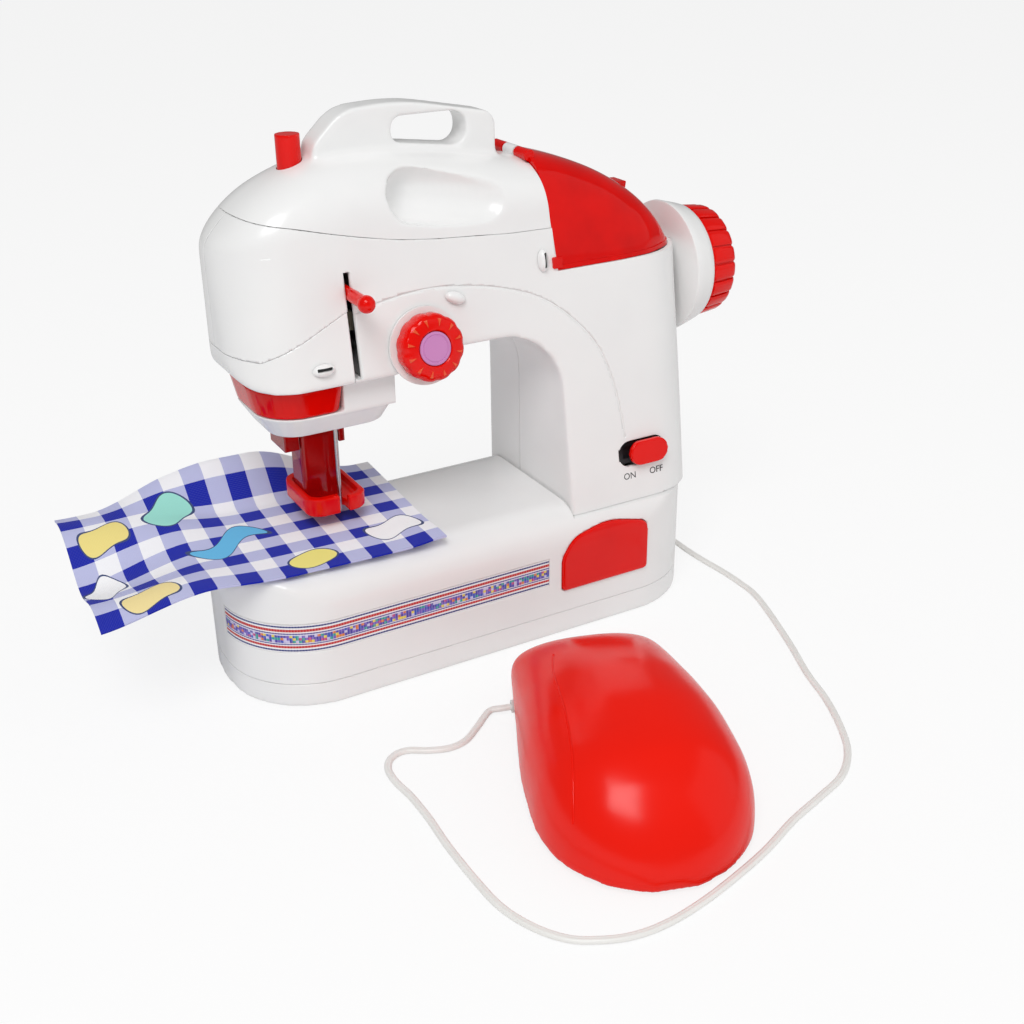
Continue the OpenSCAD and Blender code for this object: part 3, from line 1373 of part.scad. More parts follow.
module pedal_shell() {
    color("red") at_pedal() difference() {
        union() {
            difference() {
                loft(pedal_rings(0));
                loft(pedal_rings(pedal_wall));
            }
            intersection() {
                for (s = [-1, 1])
                    block([s * pedal_lug_v[2] - pedal_lug_t / 2, pedal_hinge_u - pedal_lug / 2,
                        pedal_hinge_z - pedal_lug / 2],
                          [s * pedal_lug_v[2] + pedal_lug_t / 2, pedal_hinge_u + pedal_lug, pedal_h]);
                loft(pedal_rings(pedal_wall / 2));
            }
            intersection() {
                rod_z(pedal_button_r + pedal_post_wall,
                      pedal_plate_t + pedal_switch_size[2] + pedal_button_h + pedal_press,
                      pedal_h, 0, pedal_switch_u);
                loft(pedal_rings(pedal_wall / 2));
            }
        }
        rod_x(pedal_pin_r + run, -pedal_lug_v[2] - pedal_lug_t, pedal_lug_v[2] + pedal_lug_t,
            pedal_hinge_u, pedal_hinge_z);
    }
}
module pedal_pin() {
    color("silver") at_pedal() rod_x(pedal_pin_r, -pedal_lug_v[2] - pedal_lug_t / 2,
        pedal_lug_v[2] + pedal_lug_t / 2,
                                     pedal_hinge_u, pedal_hinge_z);
}
module pedal_spring() {
    color("silver") at_pedal() difference() {
        rod_z(pedal_spring_r, pedal_plate_t + seam, pedal_spring_top, 0, pedal_spring_u);
        rod_z(pedal_spring_r - spring_t, 0, pedal_h, 0, pedal_spring_u);
    }
}
module pedal_switch() {
    color("dimgray") at_pedal() {
        block([-pedal_switch_size[0] / 2, pedal_switch_u - pedal_switch_size[1] / 2, pedal_plate_t],
              [pedal_switch_size[0] / 2, pedal_switch_u + pedal_switch_size[1] / 2,
                  pedal_plate_t + pedal_switch_size[2]]);
        rod_z(pedal_button_r, pedal_plate_t + pedal_switch_size[2] - over,
              pedal_plate_t + pedal_switch_size[2] + pedal_button_h, 0, pedal_switch_u);
    }
}

// Practice cloth
module practice_cloth() {
    nu = cloth_n[0];
    nv = cloth_n[1];
    function id(i, j, k) = k * (nu + 1) * (nv + 1) + j * (nu + 1) + i;
    color("royalblue") difference() {
        polyhedron(
            points = [for (k = [0, 1], j = [0:nv], i = [0:nu]) cloth_point(i, j, k * cloth_t)],
            faces = concat(
                [for (j = [0:nv - 1], i = [0:nu - 1])
                    each [[id(i, j, 1), id(i, j + 1, 1), id(i + 1, j + 1, 1)], [id(i, j, 1), id(i + 1,
                        j + 1, 1), id(i + 1, j, 1)],
                          [id(i, j, 0), id(i + 1, j + 1, 0), id(i, j + 1, 0)], [id(i, j, 0), id(i + 1, j,
                              0), id(i + 1, j + 1, 0)]]],
                [for (i = [0:nu - 1])
                    each [[id(i, 0, 0), id(i, 0, 1), id(i + 1, 0, 1)], [id(i, 0, 0), id(i + 1, 0, 1),
                        id(i + 1, 0, 0)],
                          [id(i, nv, 0), id(i + 1, nv, 1), id(i, nv, 1)], [id(i, nv, 0), id(i + 1, nv,
                              0), id(i + 1, nv, 1)]]],
                [for (j = [0:nv - 1])
                    each [[id(0, j, 0), id(0, j + 1, 1), id(0, j, 1)], [id(0, j, 0), id(0, j + 1, 0),
                        id(0, j + 1, 1)],
                          [id(nu, j, 0), id(nu, j, 1), id(nu, j + 1, 1)], [id(nu, j, 0), id(nu, j + 1,
                              1), id(nu, j + 1, 0)]]]));
        rod_z(needle_hole_r, 0, foot_z + foot_t, needle_x, needle_y);
    }
}

base_pan();
base_shell();
battery_door();
battery_cells();
battery_contacts();
base_screws();
needle_plate();
drawer_front();
drawer_tray();
trim_band();
body_front();
body_rear();
nose_cover();
top_cover();
shell_screws();
thread_lid();
lid_pin();
spool_tray();
spool_pin();
thread_spool();
wheel_collar();
handwheel();
main_shaft();
shaft_bushes();
drive_gear();
crank_disc();
mechanism_frame();
motor();
motor_shaft();
motor_pinion();
head_frame();
needle_bar();
needle_yoke();
needle_clamp();
needle();
take_up_lever();
presser_bar();
presser_foot();
presser_knob();
presser_spring();
head_plate();
lamp_window();
lamp_led();
needle_guard();
tension_dial();
dial_cap();
dial_post();
power_switch();
switch_body();
thread_guides();
cord_gland();
pedal_gland();
cord();
pedal_base();
pedal_shell();
pedal_pin();
pedal_spring();
pedal_switch();
practice_cloth();
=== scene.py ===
import math

import bmesh
import bpy
import numpy as np
from mathutils import Matrix, Vector


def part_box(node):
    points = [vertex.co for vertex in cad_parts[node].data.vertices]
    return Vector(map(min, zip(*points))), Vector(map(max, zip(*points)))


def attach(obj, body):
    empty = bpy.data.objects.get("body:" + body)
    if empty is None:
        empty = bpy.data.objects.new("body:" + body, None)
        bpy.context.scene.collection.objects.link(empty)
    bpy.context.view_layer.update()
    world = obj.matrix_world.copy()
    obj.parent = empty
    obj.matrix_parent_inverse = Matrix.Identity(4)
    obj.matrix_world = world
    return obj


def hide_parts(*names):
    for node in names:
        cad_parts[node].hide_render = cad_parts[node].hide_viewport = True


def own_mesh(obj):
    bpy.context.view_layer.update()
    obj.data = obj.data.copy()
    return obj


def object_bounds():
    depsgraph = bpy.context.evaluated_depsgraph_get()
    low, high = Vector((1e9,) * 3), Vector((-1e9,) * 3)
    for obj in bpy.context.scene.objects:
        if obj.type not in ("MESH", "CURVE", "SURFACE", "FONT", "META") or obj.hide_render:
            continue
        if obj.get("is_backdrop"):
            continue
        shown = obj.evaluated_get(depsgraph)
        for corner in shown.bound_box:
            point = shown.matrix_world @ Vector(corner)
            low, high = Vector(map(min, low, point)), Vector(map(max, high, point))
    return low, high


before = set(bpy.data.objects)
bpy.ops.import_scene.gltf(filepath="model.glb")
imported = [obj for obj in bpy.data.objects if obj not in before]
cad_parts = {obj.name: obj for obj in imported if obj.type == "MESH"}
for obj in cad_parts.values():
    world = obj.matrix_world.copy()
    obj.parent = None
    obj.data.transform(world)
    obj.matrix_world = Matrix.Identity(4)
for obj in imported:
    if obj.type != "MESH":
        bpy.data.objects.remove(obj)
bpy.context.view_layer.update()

# Base pan and base shell.
# Two white ABS mouldings with soft edges, screwed together from below. They meet in a line a
# finger's width over the floor, and every opening in them is the one that the drawing gives.
MM = 0.001
BASE_L, BASE_D, BED_Z, BED_PAST, CREASE_Z = 204.0, 77.0, 54.0, 6.0, 49.0
BED_EDGE_R, BASE_LEFT_R, BASE_RIGHT_R = 14.0, 33.9, 35.8
WHITE, WHITE_DEEP = "F4F4F3", "ECECEC"
SKIN_GRAIN = 0.7


def linear(code):
    """An sRGB hex colour as the linear values that a shader takes."""
    shares = [int(code[i:i + 2], 16) / 255 for i in (0, 2, 4)]
    return [s / 12.92 if s <= 0.04045 else ((s + 0.055) / 1.055) ** 2.4 for s in shares] + [1.0]


def feed(tree, node, inputs):
    """Links or sets a node's inputs; a node given as a value stands for its first live output."""
    for key, value in inputs.items():
        if isinstance(value, bpy.types.Node):
            value = next(out for out in value.outputs if out.enabled)
        if isinstance(value, bpy.types.NodeSocket):
            tree.links.new(value, node.inputs[key])
        else:
            node.inputs[key].default_value = value


def add(tree, kind, inputs=None, **settings):
    """One node with its settings and its inputs."""
    made = tree.nodes.new(kind)
    for name, value in settings.items():
        setattr(made, name, value)
    feed(tree, made, inputs or {})
    return made


def finish_of(name):
    """An empty material: its tree and its shader."""
    made = bpy.data.materials.new(name)
    made.use_nodes = True
    made.node_tree.nodes.clear()
    shader = add(made.node_tree, "ShaderNodeBsdfPrincipled")
    add(made.node_tree, "ShaderNodeOutputMaterial", {"Surface": shader})
    return made, made.node_tree, shader


def moulded(name, colour, deep, rough, flow_and_shade_mm=28.0, skin=0.02, clear=0.0, shine=0.5):
    """Injection-moulded plastic: noise mixes its two colours into faint flow marks, and into patches of
    painted shade where the second colour is much deeper; a fine, slightly uneven skin.
    """
    made, tree, shader = finish_of(name)
    place = add(tree, "ShaderNodeTexCoord").outputs["Object"]
    flow_and_painted_shade = add(tree, "ShaderNodeTexNoise", {"Vector": place, "Scale": 1 / (flow_and_shade_mm * MM), "Detail": 3.0})
    tone = add(tree, "ShaderNodeMix", {0: flow_and_painted_shade, 6: linear(colour), 7: linear(deep)}, data_type="RGBA")
    gloss = add(tree, "ShaderNodeMapRange", {0: flow_and_painted_shade, 3: rough * 0.85, 4: rough * 1.15})
    grain = add(tree, "ShaderNodeTexNoise", {"Vector": place, "Scale": 1 / (SKIN_GRAIN * MM), "Detail": 2.0})
    bump = add(tree, "ShaderNodeBump", {"Height": grain, "Strength": skin, "Distance": 0.1 * MM})
    feed(tree, shader, {"Base Color": tone, "Roughness": gloss, "Normal": bump, "IOR": 1.5,
                        "Specular IOR Level": shine, "Transmission Weight": clear})
    return made


def rounded(corners, steps=18):
    """A closed outline through corners given as (across, up, radius)."""
    points = []
    for i, (x, y, r) in enumerate(corners):
        here = np.array((x, y), float)
        if r <= 0:
            points.append(here)
            continue
        back = np.array(corners[i - 1][:2], float) - here
        ahead = np.array(corners[(i + 1) % len(corners)][:2], float) - here
        back, ahead = back / np.linalg.norm(back), ahead / np.linalg.norm(ahead)
        half = math.acos(max(-1.0, min(1.0, float(back @ ahead)))) / 2
        middle = here + (back + ahead) / np.linalg.norm(back + ahead) * r / math.sin(half)
        first = here + back * r / math.tan(half) - middle
        last = here + ahead * r / math.tan(half) - middle
        a0, a1 = math.atan2(first[1], first[0]), math.atan2(last[1], last[0])
        sweep = (a1 - a0 + math.pi) % (2 * math.pi) - math.pi
        for k in range(steps + 1):
            a = a0 + sweep * k / steps
            points.append(middle + r * np.array((math.cos(a), math.sin(a))))
    return np.array(points)


def placed(name, data):
    """A new object in the scene."""
    made = bpy.data.objects.new(name, data)
    bpy.context.scene.collection.objects.link(made)
    return made


def used_up(piece):
    """Takes a tool out of the scene with its mesh."""
    old = piece.data
    bpy.data.objects.remove(piece)
    bpy.data.meshes.remove(old)


def shaped(name, work):
    """A new object from a finished working mesh."""
    mesh = bpy.data.meshes.new(name)
    work.to_mesh(mesh)
    work.free()
    return placed(name, mesh)


def solid(name, points, faces):
    """A mesh object from points in millimetres, with its faces turned outwards."""
    work = bmesh.new()
    verts = [work.verts.new(Vector(p) * MM) for p in points]
    for face in faces:
        work.faces.new([verts[i] for i in face])
    bmesh.ops.remove_doubles(work, verts=work.verts, dist=1e-7)
    bmesh.ops.recalc_face_normals(work, faces=work.faces)
    return shaped(name, work)


def loft(name, rings, closed=False):
    """A skin over rings of equal count; its two ends are capped unless it closes on itself."""
    rings = np.asarray(rings, float)
    count, around = rings.shape[:2]
    faces = [(i * around + j, (i + 1) % count * around + j, (i + 1) % count * around + (j + 1) % around,
              i * around + (j + 1) % around)
             for i in range(count if closed else count - 1) for j in range(around)]
    if not closed:
        faces += [tuple(range(around)), tuple((count - 1) * around + j for j in reversed(range(around)))]
    return solid(name, rings.reshape(-1, 3), faces)


def prism(outline, axis, low, high, place=None):
    """An outline drawn out along X, Y or Z, then set in a place of its own."""
    rings = []
    for end in (low, high):
        flat = np.full(len(outline), float(end))
        a, b = outline[:, 0], outline[:, 1]
        rings.append(np.column_stack({"X": (flat, a, b), "Y": (a, flat, b), "Z": (a, b, flat)}[axis]))
    rings = np.array(rings)
    if place is not None:
        rings = rings @ place[0].T + place[1]
    return loft("prism", rings)


def settled(piece):
    """Turns a piece with its modifiers into a plain mesh."""
    graph = bpy.context.evaluated_depsgraph_get()
    mesh = bpy.data.meshes.new_from_object(piece.evaluated_get(graph))
    piece.modifiers.clear()
    old, piece.data = piece.data, mesh
    bpy.data.meshes.remove(old)
    return piece


def worked(piece, tool, how):
    """Joins a tool to a piece, cuts it away, or keeps what they share; the tool is used up."""
    step = piece.modifiers.new("work", "BOOLEAN")
    step.object, step.operation, step.solver = tool, how, "MANIFOLD"
    settled(piece)
    used_up(tool)
    return piece


def softened(piece, voxel, rounds, inset=0.0):
    """Rounds a piece's edges as a mould does, and draws its skin in by a hair."""
    step = piece.modifiers.new("skin", "REMESH")
    step.mode, step.voxel_size = "VOXEL", voxel * MM
    step = piece.modifiers.new("soft", "SMOOTH")
    step.factor, step.iterations = 0.5, rounds
    settled(piece)
    if inset:
        mesh = piece.data
        count = len(mesh.vertices)
        at, out = np.empty(3 * count), np.empty(3 * count)
        mesh.vertices.foreach_get("co", at)
        mesh.vertex_normals.foreach_get("vector", out)
        mesh.vertices.foreach_set("co", at - out * inset * MM)
    return piece


def copy_of(piece):
    """A second piece of the same shape."""
    return placed(piece.name, piece.data.copy())


def cast_of(node):
    """A working copy of a drawn solid, with its triangles joined up."""
    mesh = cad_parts[node].data.copy()
    mesh.materials.clear()
    work = bmesh.new()
    work.from_mesh(mesh)
    bmesh.ops.remove_doubles(work, verts=work.verts, dist=1e-6)
    work.to_mesh(mesh)
    work.free()
    return placed(node + "_cast", mesh)


def fitted(piece, name, finish, body, slot, *nodes, angle=38):
    """Names and paints a finished piece, and hands it to the body that carries it."""
    piece.name = piece.data.name = name
    piece.data.materials.clear()
    piece.data.materials.append(finish)
    piece.data.polygons.foreach_set("material_index", [0] * len(piece.data.polygons))
    piece.data.shade_smooth()
    piece.data.set_sharp_from_angle(angle=math.radians(angle))
    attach(piece, body)
    if nodes:
        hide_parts(*nodes)
    return piece


def painted(finish, *nodes):
    """A drawn solid whose shape is right takes a finish as it is."""
    for node in nodes:
        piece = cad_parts[node]
        if not piece.material_slots:
            piece.data.materials.append(finish)
        for place in piece.material_slots:
            place.material = finish


# Glossy ABS, bright white with the faintest grey in its flow
white_abs = moulded("white_abs_moulded", WHITE, WHITE_DEEP, 0.22)

base_form = prism(rounded([
    (-BASE_L / 2, -BASE_D / 2, BASE_LEFT_R), (BASE_L / 2, -BASE_D / 2, BASE_RIGHT_R),
    (BASE_L / 2, BASE_D / 2, BASE_RIGHT_R), (-BASE_L / 2, BASE_D / 2, BASE_LEFT_R)]),
    "Z", 0, BED_Z + BED_PAST)
for half, axis in ((BASE_D / 2, "X"), (BASE_L / 2, "Y")):
    base_form = worked(base_form, prism(rounded([
        (-half, 0, 0), (half, 0, 0), (half, BED_Z, BED_EDGE_R), (-half, BED_Z, BED_EDGE_R)]),
        axis, -BASE_L, BASE_L), "INTERSECT")
softened(base_form, 1.0, 14, 0.25)
for node in ("base_pan", "base_shell"):
    fitted(worked(cast_of(node), copy_of(base_form), "INTERSECT"), node + "_moulding", white_abs, "machine",
           "white_plastic", node)
used_up(base_form)

# Battery bay, door and base screws.
# Four cells between sheet-steel contacts, a white ABS door and zinc-plated screws, all reached
# from below. They keep the drawn shapes and take their own finishes.
CELL_END = 11.5


def lined_metal(name, light, deep, stretch, line_mm, detail, gloss):
    """Bare metal whose noise is drawn out along one axis into fine lines."""
    made, tree, shader = finish_of(name)
    place = add(tree, "ShaderNodeMapping", {
        "Vector": add(tree, "ShaderNodeTexCoord").outputs["Object"], "Scale": stretch})
    lines = add(tree, "ShaderNodeTexNoise", {"Vector": place, "Scale": 1 / (line_mm * MM), "Detail": detail})
    tone = add(tree, "ShaderNodeMix", {0: lines, 6: linear(light), 7: linear(deep)}, data_type="RGBA")
    rough = add(tree, "ShaderNodeMapRange", {0: lines, 3: gloss[0], 4: gloss[1]})
    feed(tree, shader, {"Base Color": tone, "Roughness": rough, "Metallic": 1.0})
    return made


# Zinc-plated steel: bright grey with fine drawn lines
plated_steel = lined_metal("zinc_plated_steel", "B9BCC0", "8F9398", (1.0, 1.0, 0.08), 0.5, 3.0, (0.22, 0.42))
# Printed film round a dry cell: a dark barrel with a copper-coloured end
cell_film, tree, shader = finish_of("dry_cell_film")
place = add(tree, "ShaderNodeTexCoord").outputs["Object"]
along = add(tree, "ShaderNodeSeparateXYZ", {0: place}).outputs["Y"]
end = add(tree, "ShaderNodeMapRange", {0: along, 1: CELL_END * MM, 2: (CELL_END + 0.3) * MM})
wear = add(tree, "ShaderNodeTexNoise", {"Vector": place, "Scale": 1 / (4 * MM), "Detail": 4.0})
dark = add(tree, "ShaderNodeMix", {0: wear, 6: linear("1D1F22"), 7: linear("2C2F33")}, data_type="RGBA")
tone = add(tree, "ShaderNodeMix", {0: end, 6: dark, 7: linear("B4763C")}, data_type="RGBA")
feed(tree, shader, {"Base Color": tone, "Roughness": 0.3})
painted(white_abs, "battery_door")
painted(plated_steel, "base_screws", "battery_contacts", "shell_screws")
painted(cell_film, "battery_cells")

# Needle plate.
# A stamped plate of brushed stainless steel, let into the bed under the needle.
# Brushed stainless steel: pale grey with lines along the bed
stainless = lined_metal("brushed_stainless_steel", "D2D4D6", "A5A8AB", (0.03, 1.0, 1.0), 0.3, 4.0,
                        (0.2, 0.38))
painted(stainless, "needle_plate")

# Accessory drawer.
# A glossy red ABS front, proud of the base by a hair, on a plain white tray that slides out.
RED, RED_DEEP = "EE0B02", "DC0802"


def mould_of(node, voxel, rounds, finish, body, slot):
    """A drawn solid with its edges rounded stands in the node's place."""
    fitted(softened(cast_of(node), voxel, rounds), node + "_moulding", finish, body, slot, node)


# Polished red ABS: a hard gloss over an even, warm red
red_abs = moulded("red_abs_polished", RED, RED_DEEP, 0.14, skin=0.012, shine=0.3)
mould_of("drawer_front", 0.5, 5, red_abs, "drawer", "red_plastic")
painted(white_abs, "drawer_tray")

# Trim band.
# A narrow woven ribbon stuck into its recess along the front and round the left corner: stitched
# edges, red cords and a middle row of small bright lozenges.
BAND_LOW, BAND_HIGH, BAND_END, BAND_BACK = 24.2, 35.8, 21.8, -6.3
BAND_OUTER, BAND_INNER = 0.25, 0.66
LOZENGE_L, LOZENGE_SHARE, MIDDLE_SHARES, STITCH = 1.15, 0.09, (0.35, 0.62), 1.1
ROWS = [(0.0, "F0F0F2"), (0.04, "27307A"), (0.1, "F2F2F4"), (0.16, "C4161C"), (0.24, "F2EDEE"),
        (0.28, "3F3C94"), (0.32, "DAD7E8"), (0.66, "3F3C94"), (0.7, "F2EDEE"), (0.75, "C4161C"),
        (0.84, "F2F2F4"), (0.9, "27307A"), (0.96, "F2F2F4")]
LOZENGES = [(0.0, "4F3FA6"), (0.25, "C9C3E6"), (0.38, "1F9C96"), (0.52, "E8D046"), (0.62, "7456BE"),
            (0.8, "E07A38"), (0.86, "C23A80"), (0.91, "3450BC")]
run = [np.array((x, -BASE_D / 2)) for x in np.linspace(BAND_END, -BASE_L / 2 + BASE_LEFT_R, 40)]
corner = np.array((-BASE_L / 2 + BASE_LEFT_R, -BASE_D / 2 + BASE_LEFT_R))
for a in np.linspace(-math.pi / 2, -math.pi, 40)[1:]:
    p = corner + BASE_LEFT_R * np.array((math.cos(a), math.sin(a)))
    if p[1] < BAND_BACK:
        run.append(p)
run = np.array(run)
ahead = np.gradient(run, axis=0)
ahead /= np.linalg.norm(ahead, axis=1)[:, None]
inwards = np.column_stack((ahead[:, 1], -ahead[:, 0]))
length = np.concatenate(([0.0], np.cumsum(np.linalg.norm(np.diff(run, axis=0), axis=1))))
rings = []
for p, n in zip(run, inwards):
    o, i = p + n * BAND_OUTER, p + n * BAND_INNER
    rings.append([(*o, BAND_LOW), (*o, BAND_HIGH), (*i, BAND_HIGH), (*i, BAND_LOW)])
band = loft("trim_band_ribbon", rings)
laid = band.data.uv_layers.new(name="ribbon")
for face in band.data.polygons:
    for k in face.loop_indices:
        at = band.data.vertices[band.data.loops[k].vertex_index].co / MM
        near = int(np.argmin((run[:, 0] - at.x) ** 2 + (run[:, 1] - at.y) ** 2))
        laid.data[k].uv = (length[near] * MM, (at.z - BAND_LOW) * MM)
# Woven polyester ribbon: floats of thread across it, drawn at 1.1 mm so that they show
ribbon, tree, shader = finish_of("woven_polyester_ribbon")
uv = add(tree, "ShaderNodeUVMap", uv_map="ribbon")
split = add(tree, "ShaderNodeSeparateXYZ", {0: uv})
share = add(tree, "ShaderNodeMath", {0: split.outputs[1], 1: (BAND_HIGH - BAND_LOW) * MM}, operation="DIVIDE")
cell_u = add(tree, "ShaderNodeMath", {0: split.outputs[0], 1: LOZENGE_L * MM}, operation="DIVIDE")
cell_v = add(tree, "ShaderNodeMath", {0: share, 1: LOZENGE_SHARE}, operation="DIVIDE")
floor_u = add(tree, "ShaderNodeMath", {0: cell_u}, operation="FLOOR")
floor_v = add(tree, "ShaderNodeMath", {0: cell_v}, operation="FLOOR")
cell = add(tree, "ShaderNodeCombineXYZ", {0: floor_u, 1: floor_v})
dice = add(tree, "ShaderNodeTexWhiteNoise", {"Vector": cell}, noise_dimensions="2D")
rows, bright = (add(tree, "ShaderNodeValToRGB", {0: value}) for value in (share, dice))
for ramp, stops in ((rows.color_ramp, ROWS), (bright.color_ramp, LOZENGES)):
    ramp.interpolation = "CONSTANT"
    while len(ramp.elements) < len(stops):
        ramp.elements.new(0.5)
    for element, (at, code) in zip(ramp.elements, stops):
        element.position, element.color = at, linear(code)
over = add(tree, "ShaderNodeMath", {0: share, 1: MIDDLE_SHARES[0]}, operation="GREATER_THAN")
under = add(tree, "ShaderNodeMath", {0: share, 1: MIDDLE_SHARES[1]}, operation="LESS_THAN")
inside = add(tree, "ShaderNodeMath", {0: over, 1: under}, operation="MULTIPLY")
tone = add(tree, "ShaderNodeMix", {0: inside, 6: rows, 7: bright}, data_type="RGBA")
stitch = add(tree, "ShaderNodeTexWave", {"Vector": uv, "Scale": 2 * math.pi / (20 * STITCH * MM)},
             bands_direction="X").outputs["Fac"]
thread = add(tree, "ShaderNodeMix", {0: 0.14, 6: tone, 7: linear("FFFFFF")}, data_type="RGBA")
mixed = add(tree, "ShaderNodeMix", {0: stitch, 6: tone, 7: thread}, data_type="RGBA")
bump = add(tree, "ShaderNodeBump", {"Height": stitch, "Strength": 0.5, "Distance": 0.15 * MM})
feed(tree, shader, {"Base Color": mixed, "Normal": bump, "Roughness": 0.7, "Specular IOR Level": 0.25})
fitted(band, "trim_band_ribbon", ribbon, "machine", "woven_trim", "trim_band")

# Arm and pillar in two halves, and the nose cover.
# White ABS shells screwed together from behind. The front leans out towards the bed, the left end is
# round in plan and domed above, and a thin moulded line sweeps over the dial and down the pillar.
ARM_BACK, ARM_FRONT, ARM_REAR, SEAM_Z, LID_Z, NOSE_Z, UNDER_Z = 10.0, -15.5, 35.5, 166.0, 146.0, 118.0, 124.0
HEAD_X, THROAT_X, PILLAR_R, DRAFT, LEAN_OUT, BLOCK_X, LID_X = -90.0, 36.0, 98.0, 7.0, 18.0, -31.0, 38.0
HEAD_R, PILLAR_EDGE_R, NOSE_R, THROAT_R, BLOCK_DRAFT = 25.0, 28.0, 10.0, 24.0, 3.0
LID_LEAN, LID_TALL, DOME_RISE, SKIN_IN = 3.5, 41.0, 29.0, 0.5
OVERLAP, SIDE_PAST, LID_PAST, FAR = 6.0, 0.45, 12.0, 260.0
LEAN = math.atan(LEAN_OUT / (SEAM_Z - CREASE_Z))
DOME = [(0, 0.03), (0.012, 0.12), (0.04, 0.26), (0.08, 0.43), (0.155, 0.67), (0.22, 0.81), (0.3, 0.93),
        (0.39, 1), (0.46, 1), (0.6, 0.94), (0.76, 0.85), (0.93, 0.72), (1, 0.67), (1.12, 0.58)]
LINE = [(-49, 142.8), (-42, 144.6), (-35, 146), (-26.4, 147.2), (-16, 147.8), (-6.3, 147), (8, 144.7),
        (22.6, 140.4), (34, 134.6), (45.4, 124.9), (53.8, 114), (58.8, 101.5), (61.4, 90), (62.7, 81.5),
        (63.3, 76)]
SWITCH_X, SWITCH_Z, WELL_L, WELL_H, WELL_R = 71.0, 69.0, 11.3, 5.4, 5.3
GUIDES, BARE_GUIDE = [(-60.5, 126.0, 0), (31.5, 151.0, 90)], (-6.5, 143.0, 20)
GUIDE_L, GUIDE_W, GUIDE_OUT = 4.2, 2.25, 2.3
# SLIT is the thread's way through a guide; the smaller outline is the strip of painted shade behind it
SLIT, PAINTED_SHADE_PANE = (-2.9, 2.9, -0.25, 1.05, 0.4, 4), (-2.8, 2.8, -0.2, 1.0, 0.3, 4)


def front_y(z):
    """Where the leaning front stands at a height."""
    return ARM_FRONT - LEAN_OUT * (SEAM_Z - z) / (SEAM_Z - CREASE_Z)


def lid_side(z):
    """The line along which the lid meets the top cover."""
    return LID_X - LID_LEAN * (z - LID_Z) / LID_TALL


def on_front(x, z):
    """Turn and shift that set a thing on the leaning front, its back to the wall."""
    c, s = math.cos(LEAN), math.sin(LEAN)
    return np.array(((1, 0, 0), (0, c, s), (0, -s, c))), np.array((x, front_y(z), z))


def pane(x0, x1, y0, y1, r=0.0, steps=18):
    """A rectangle with four like corners."""
    return rounded([(x0, y0, r), (x1, y0, r), (x1, y1, r), (x0, y1, r)], steps)


def eased(shares, at, column=1):
    """A smooth line through a table's first and another column that never overshoots them."""
    x, y = np.array(shares, float)[:, [0, column]].T
    step, rise = np.diff(x), np.diff(y) / np.diff(x)
    slope = np.zeros(len(x))
    for i in range(1, len(x) - 1):
        if rise[i - 1] * rise[i] > 0:
            a, b = 2 * step[i] + step[i - 1], step[i] + 2 * step[i - 1]
            slope[i] = (a + b) / (a / rise[i - 1] + b / rise[i])
    slope[0], slope[-1] = rise[0], rise[-1]
    k = np.clip(np.searchsorted(x, at, side="right") - 1, 0, len(x) - 2)
    t = (np.asarray(at) - x[k]) / step[k]
    return (y[k] * (1 + 2 * t) * (1 - t) ** 2 + y[k + 1] * t * t * (3 - 2 * t)
            + step[k] * (slope[k] * t * (1 - t) ** 2 - slope[k + 1] * t * t * (1 - t)))


def through(marks, steps):
    """A smooth line through marks, with a number of steps between each two."""
    marks, points = np.asarray(marks, float), []
    for i in range(len(marks) - 1):
        a, b, c, d = (marks[min(max(i + k, 0), len(marks) - 1)] for k in (-1, 0, 1, 2))
        for t in np.arange(steps) / steps:
            points.append((2 * b + (c - a) * t + (2 * a - 5 * b + 4 * c - d) * t ** 2
                           + (3 * b - a - 3 * c + d) * t ** 3) / 2)
    return np.array(points + [marks[-1]])


def arch(y, half, foot, crest, square, count=56):
    """Half of a squared oval standing on a foot, as (across, up)."""
    a = np.linspace(0, math.pi, count)
    c, s = np.cos(a), np.sin(a)
    return np.column_stack((y + half * np.sign(c) * np.abs(c) ** (2 / square),
                            foot + (crest - foot) * np.abs(s) ** (2 / square)))


def skirted(x, line, foot):
    """A ring across X: a line over the arm, let down at both ends to a foot."""
    line = np.vstack((line, (line[-1][0], foot), (line[0][0], foot)))
    return np.column_stack((np.full(len(line), x), line))


def dome(inset, sink):
    """The dome over the arm as a solid, drawn in by an inset and let down below its seam."""
    rings = []
    for share in 1.1 * (1 - np.cos(np.linspace(0.02, math.pi / 2, 60))):
        x = HEAD_X + inset + (LID_X - HEAD_X - inset) * share
        past = min(max(HEAD_R - (x - HEAD_X), 0), HEAD_R - inset)
        y_in = max(HEAD_R - math.sqrt((HEAD_R - inset) ** 2 - past ** 2), inset)
        half = max((ARM_REAR - ARM_FRONT) / 2 - y_in, 0.4)
        crest = SEAM_Z + 0.3 + max(DOME_RISE * eased(DOME, share) - inset, 0.3)
        rings.append(skirted(x, arch(ARM_BACK, half, SEAM_Z, crest, 2.4), SEAM_Z - sink))
    return loft("dome", rings)


def grown(name, piece, inputs, build):
    """Runs a node tree with named inputs on a piece and leaves a plain mesh with its finish set."""
    tree = bpy.data.node_groups.new(name, "GeometryNodeTree")
    for way in ("OUTPUT", "INPUT"):
        tree.interface.new_socket("Geometry", in_out=way, socket_type="NodeSocketGeometry")
    keys = {label: tree.interface.new_socket(
        label, in_out="INPUT", socket_type="NodeSocket" + kind).identifier
        for label, (kind, value) in inputs.items()}
    given = add(tree, "NodeGroupInput").outputs
    real = add(tree, "GeometryNodeRealizeInstances", {0: build(tree, given)})
    done = add(tree, "GeometryNodeSetMaterial", {"Geometry": real, "Material": given["Finish"]})
    add(tree, "NodeGroupOutput", {0: done})
    step = piece.modifiers.new(name, "NODES")
    step.node_group = tree
    for label, (kind, value) in inputs.items():
        step[keys[label]] = value
    return settled(piece)


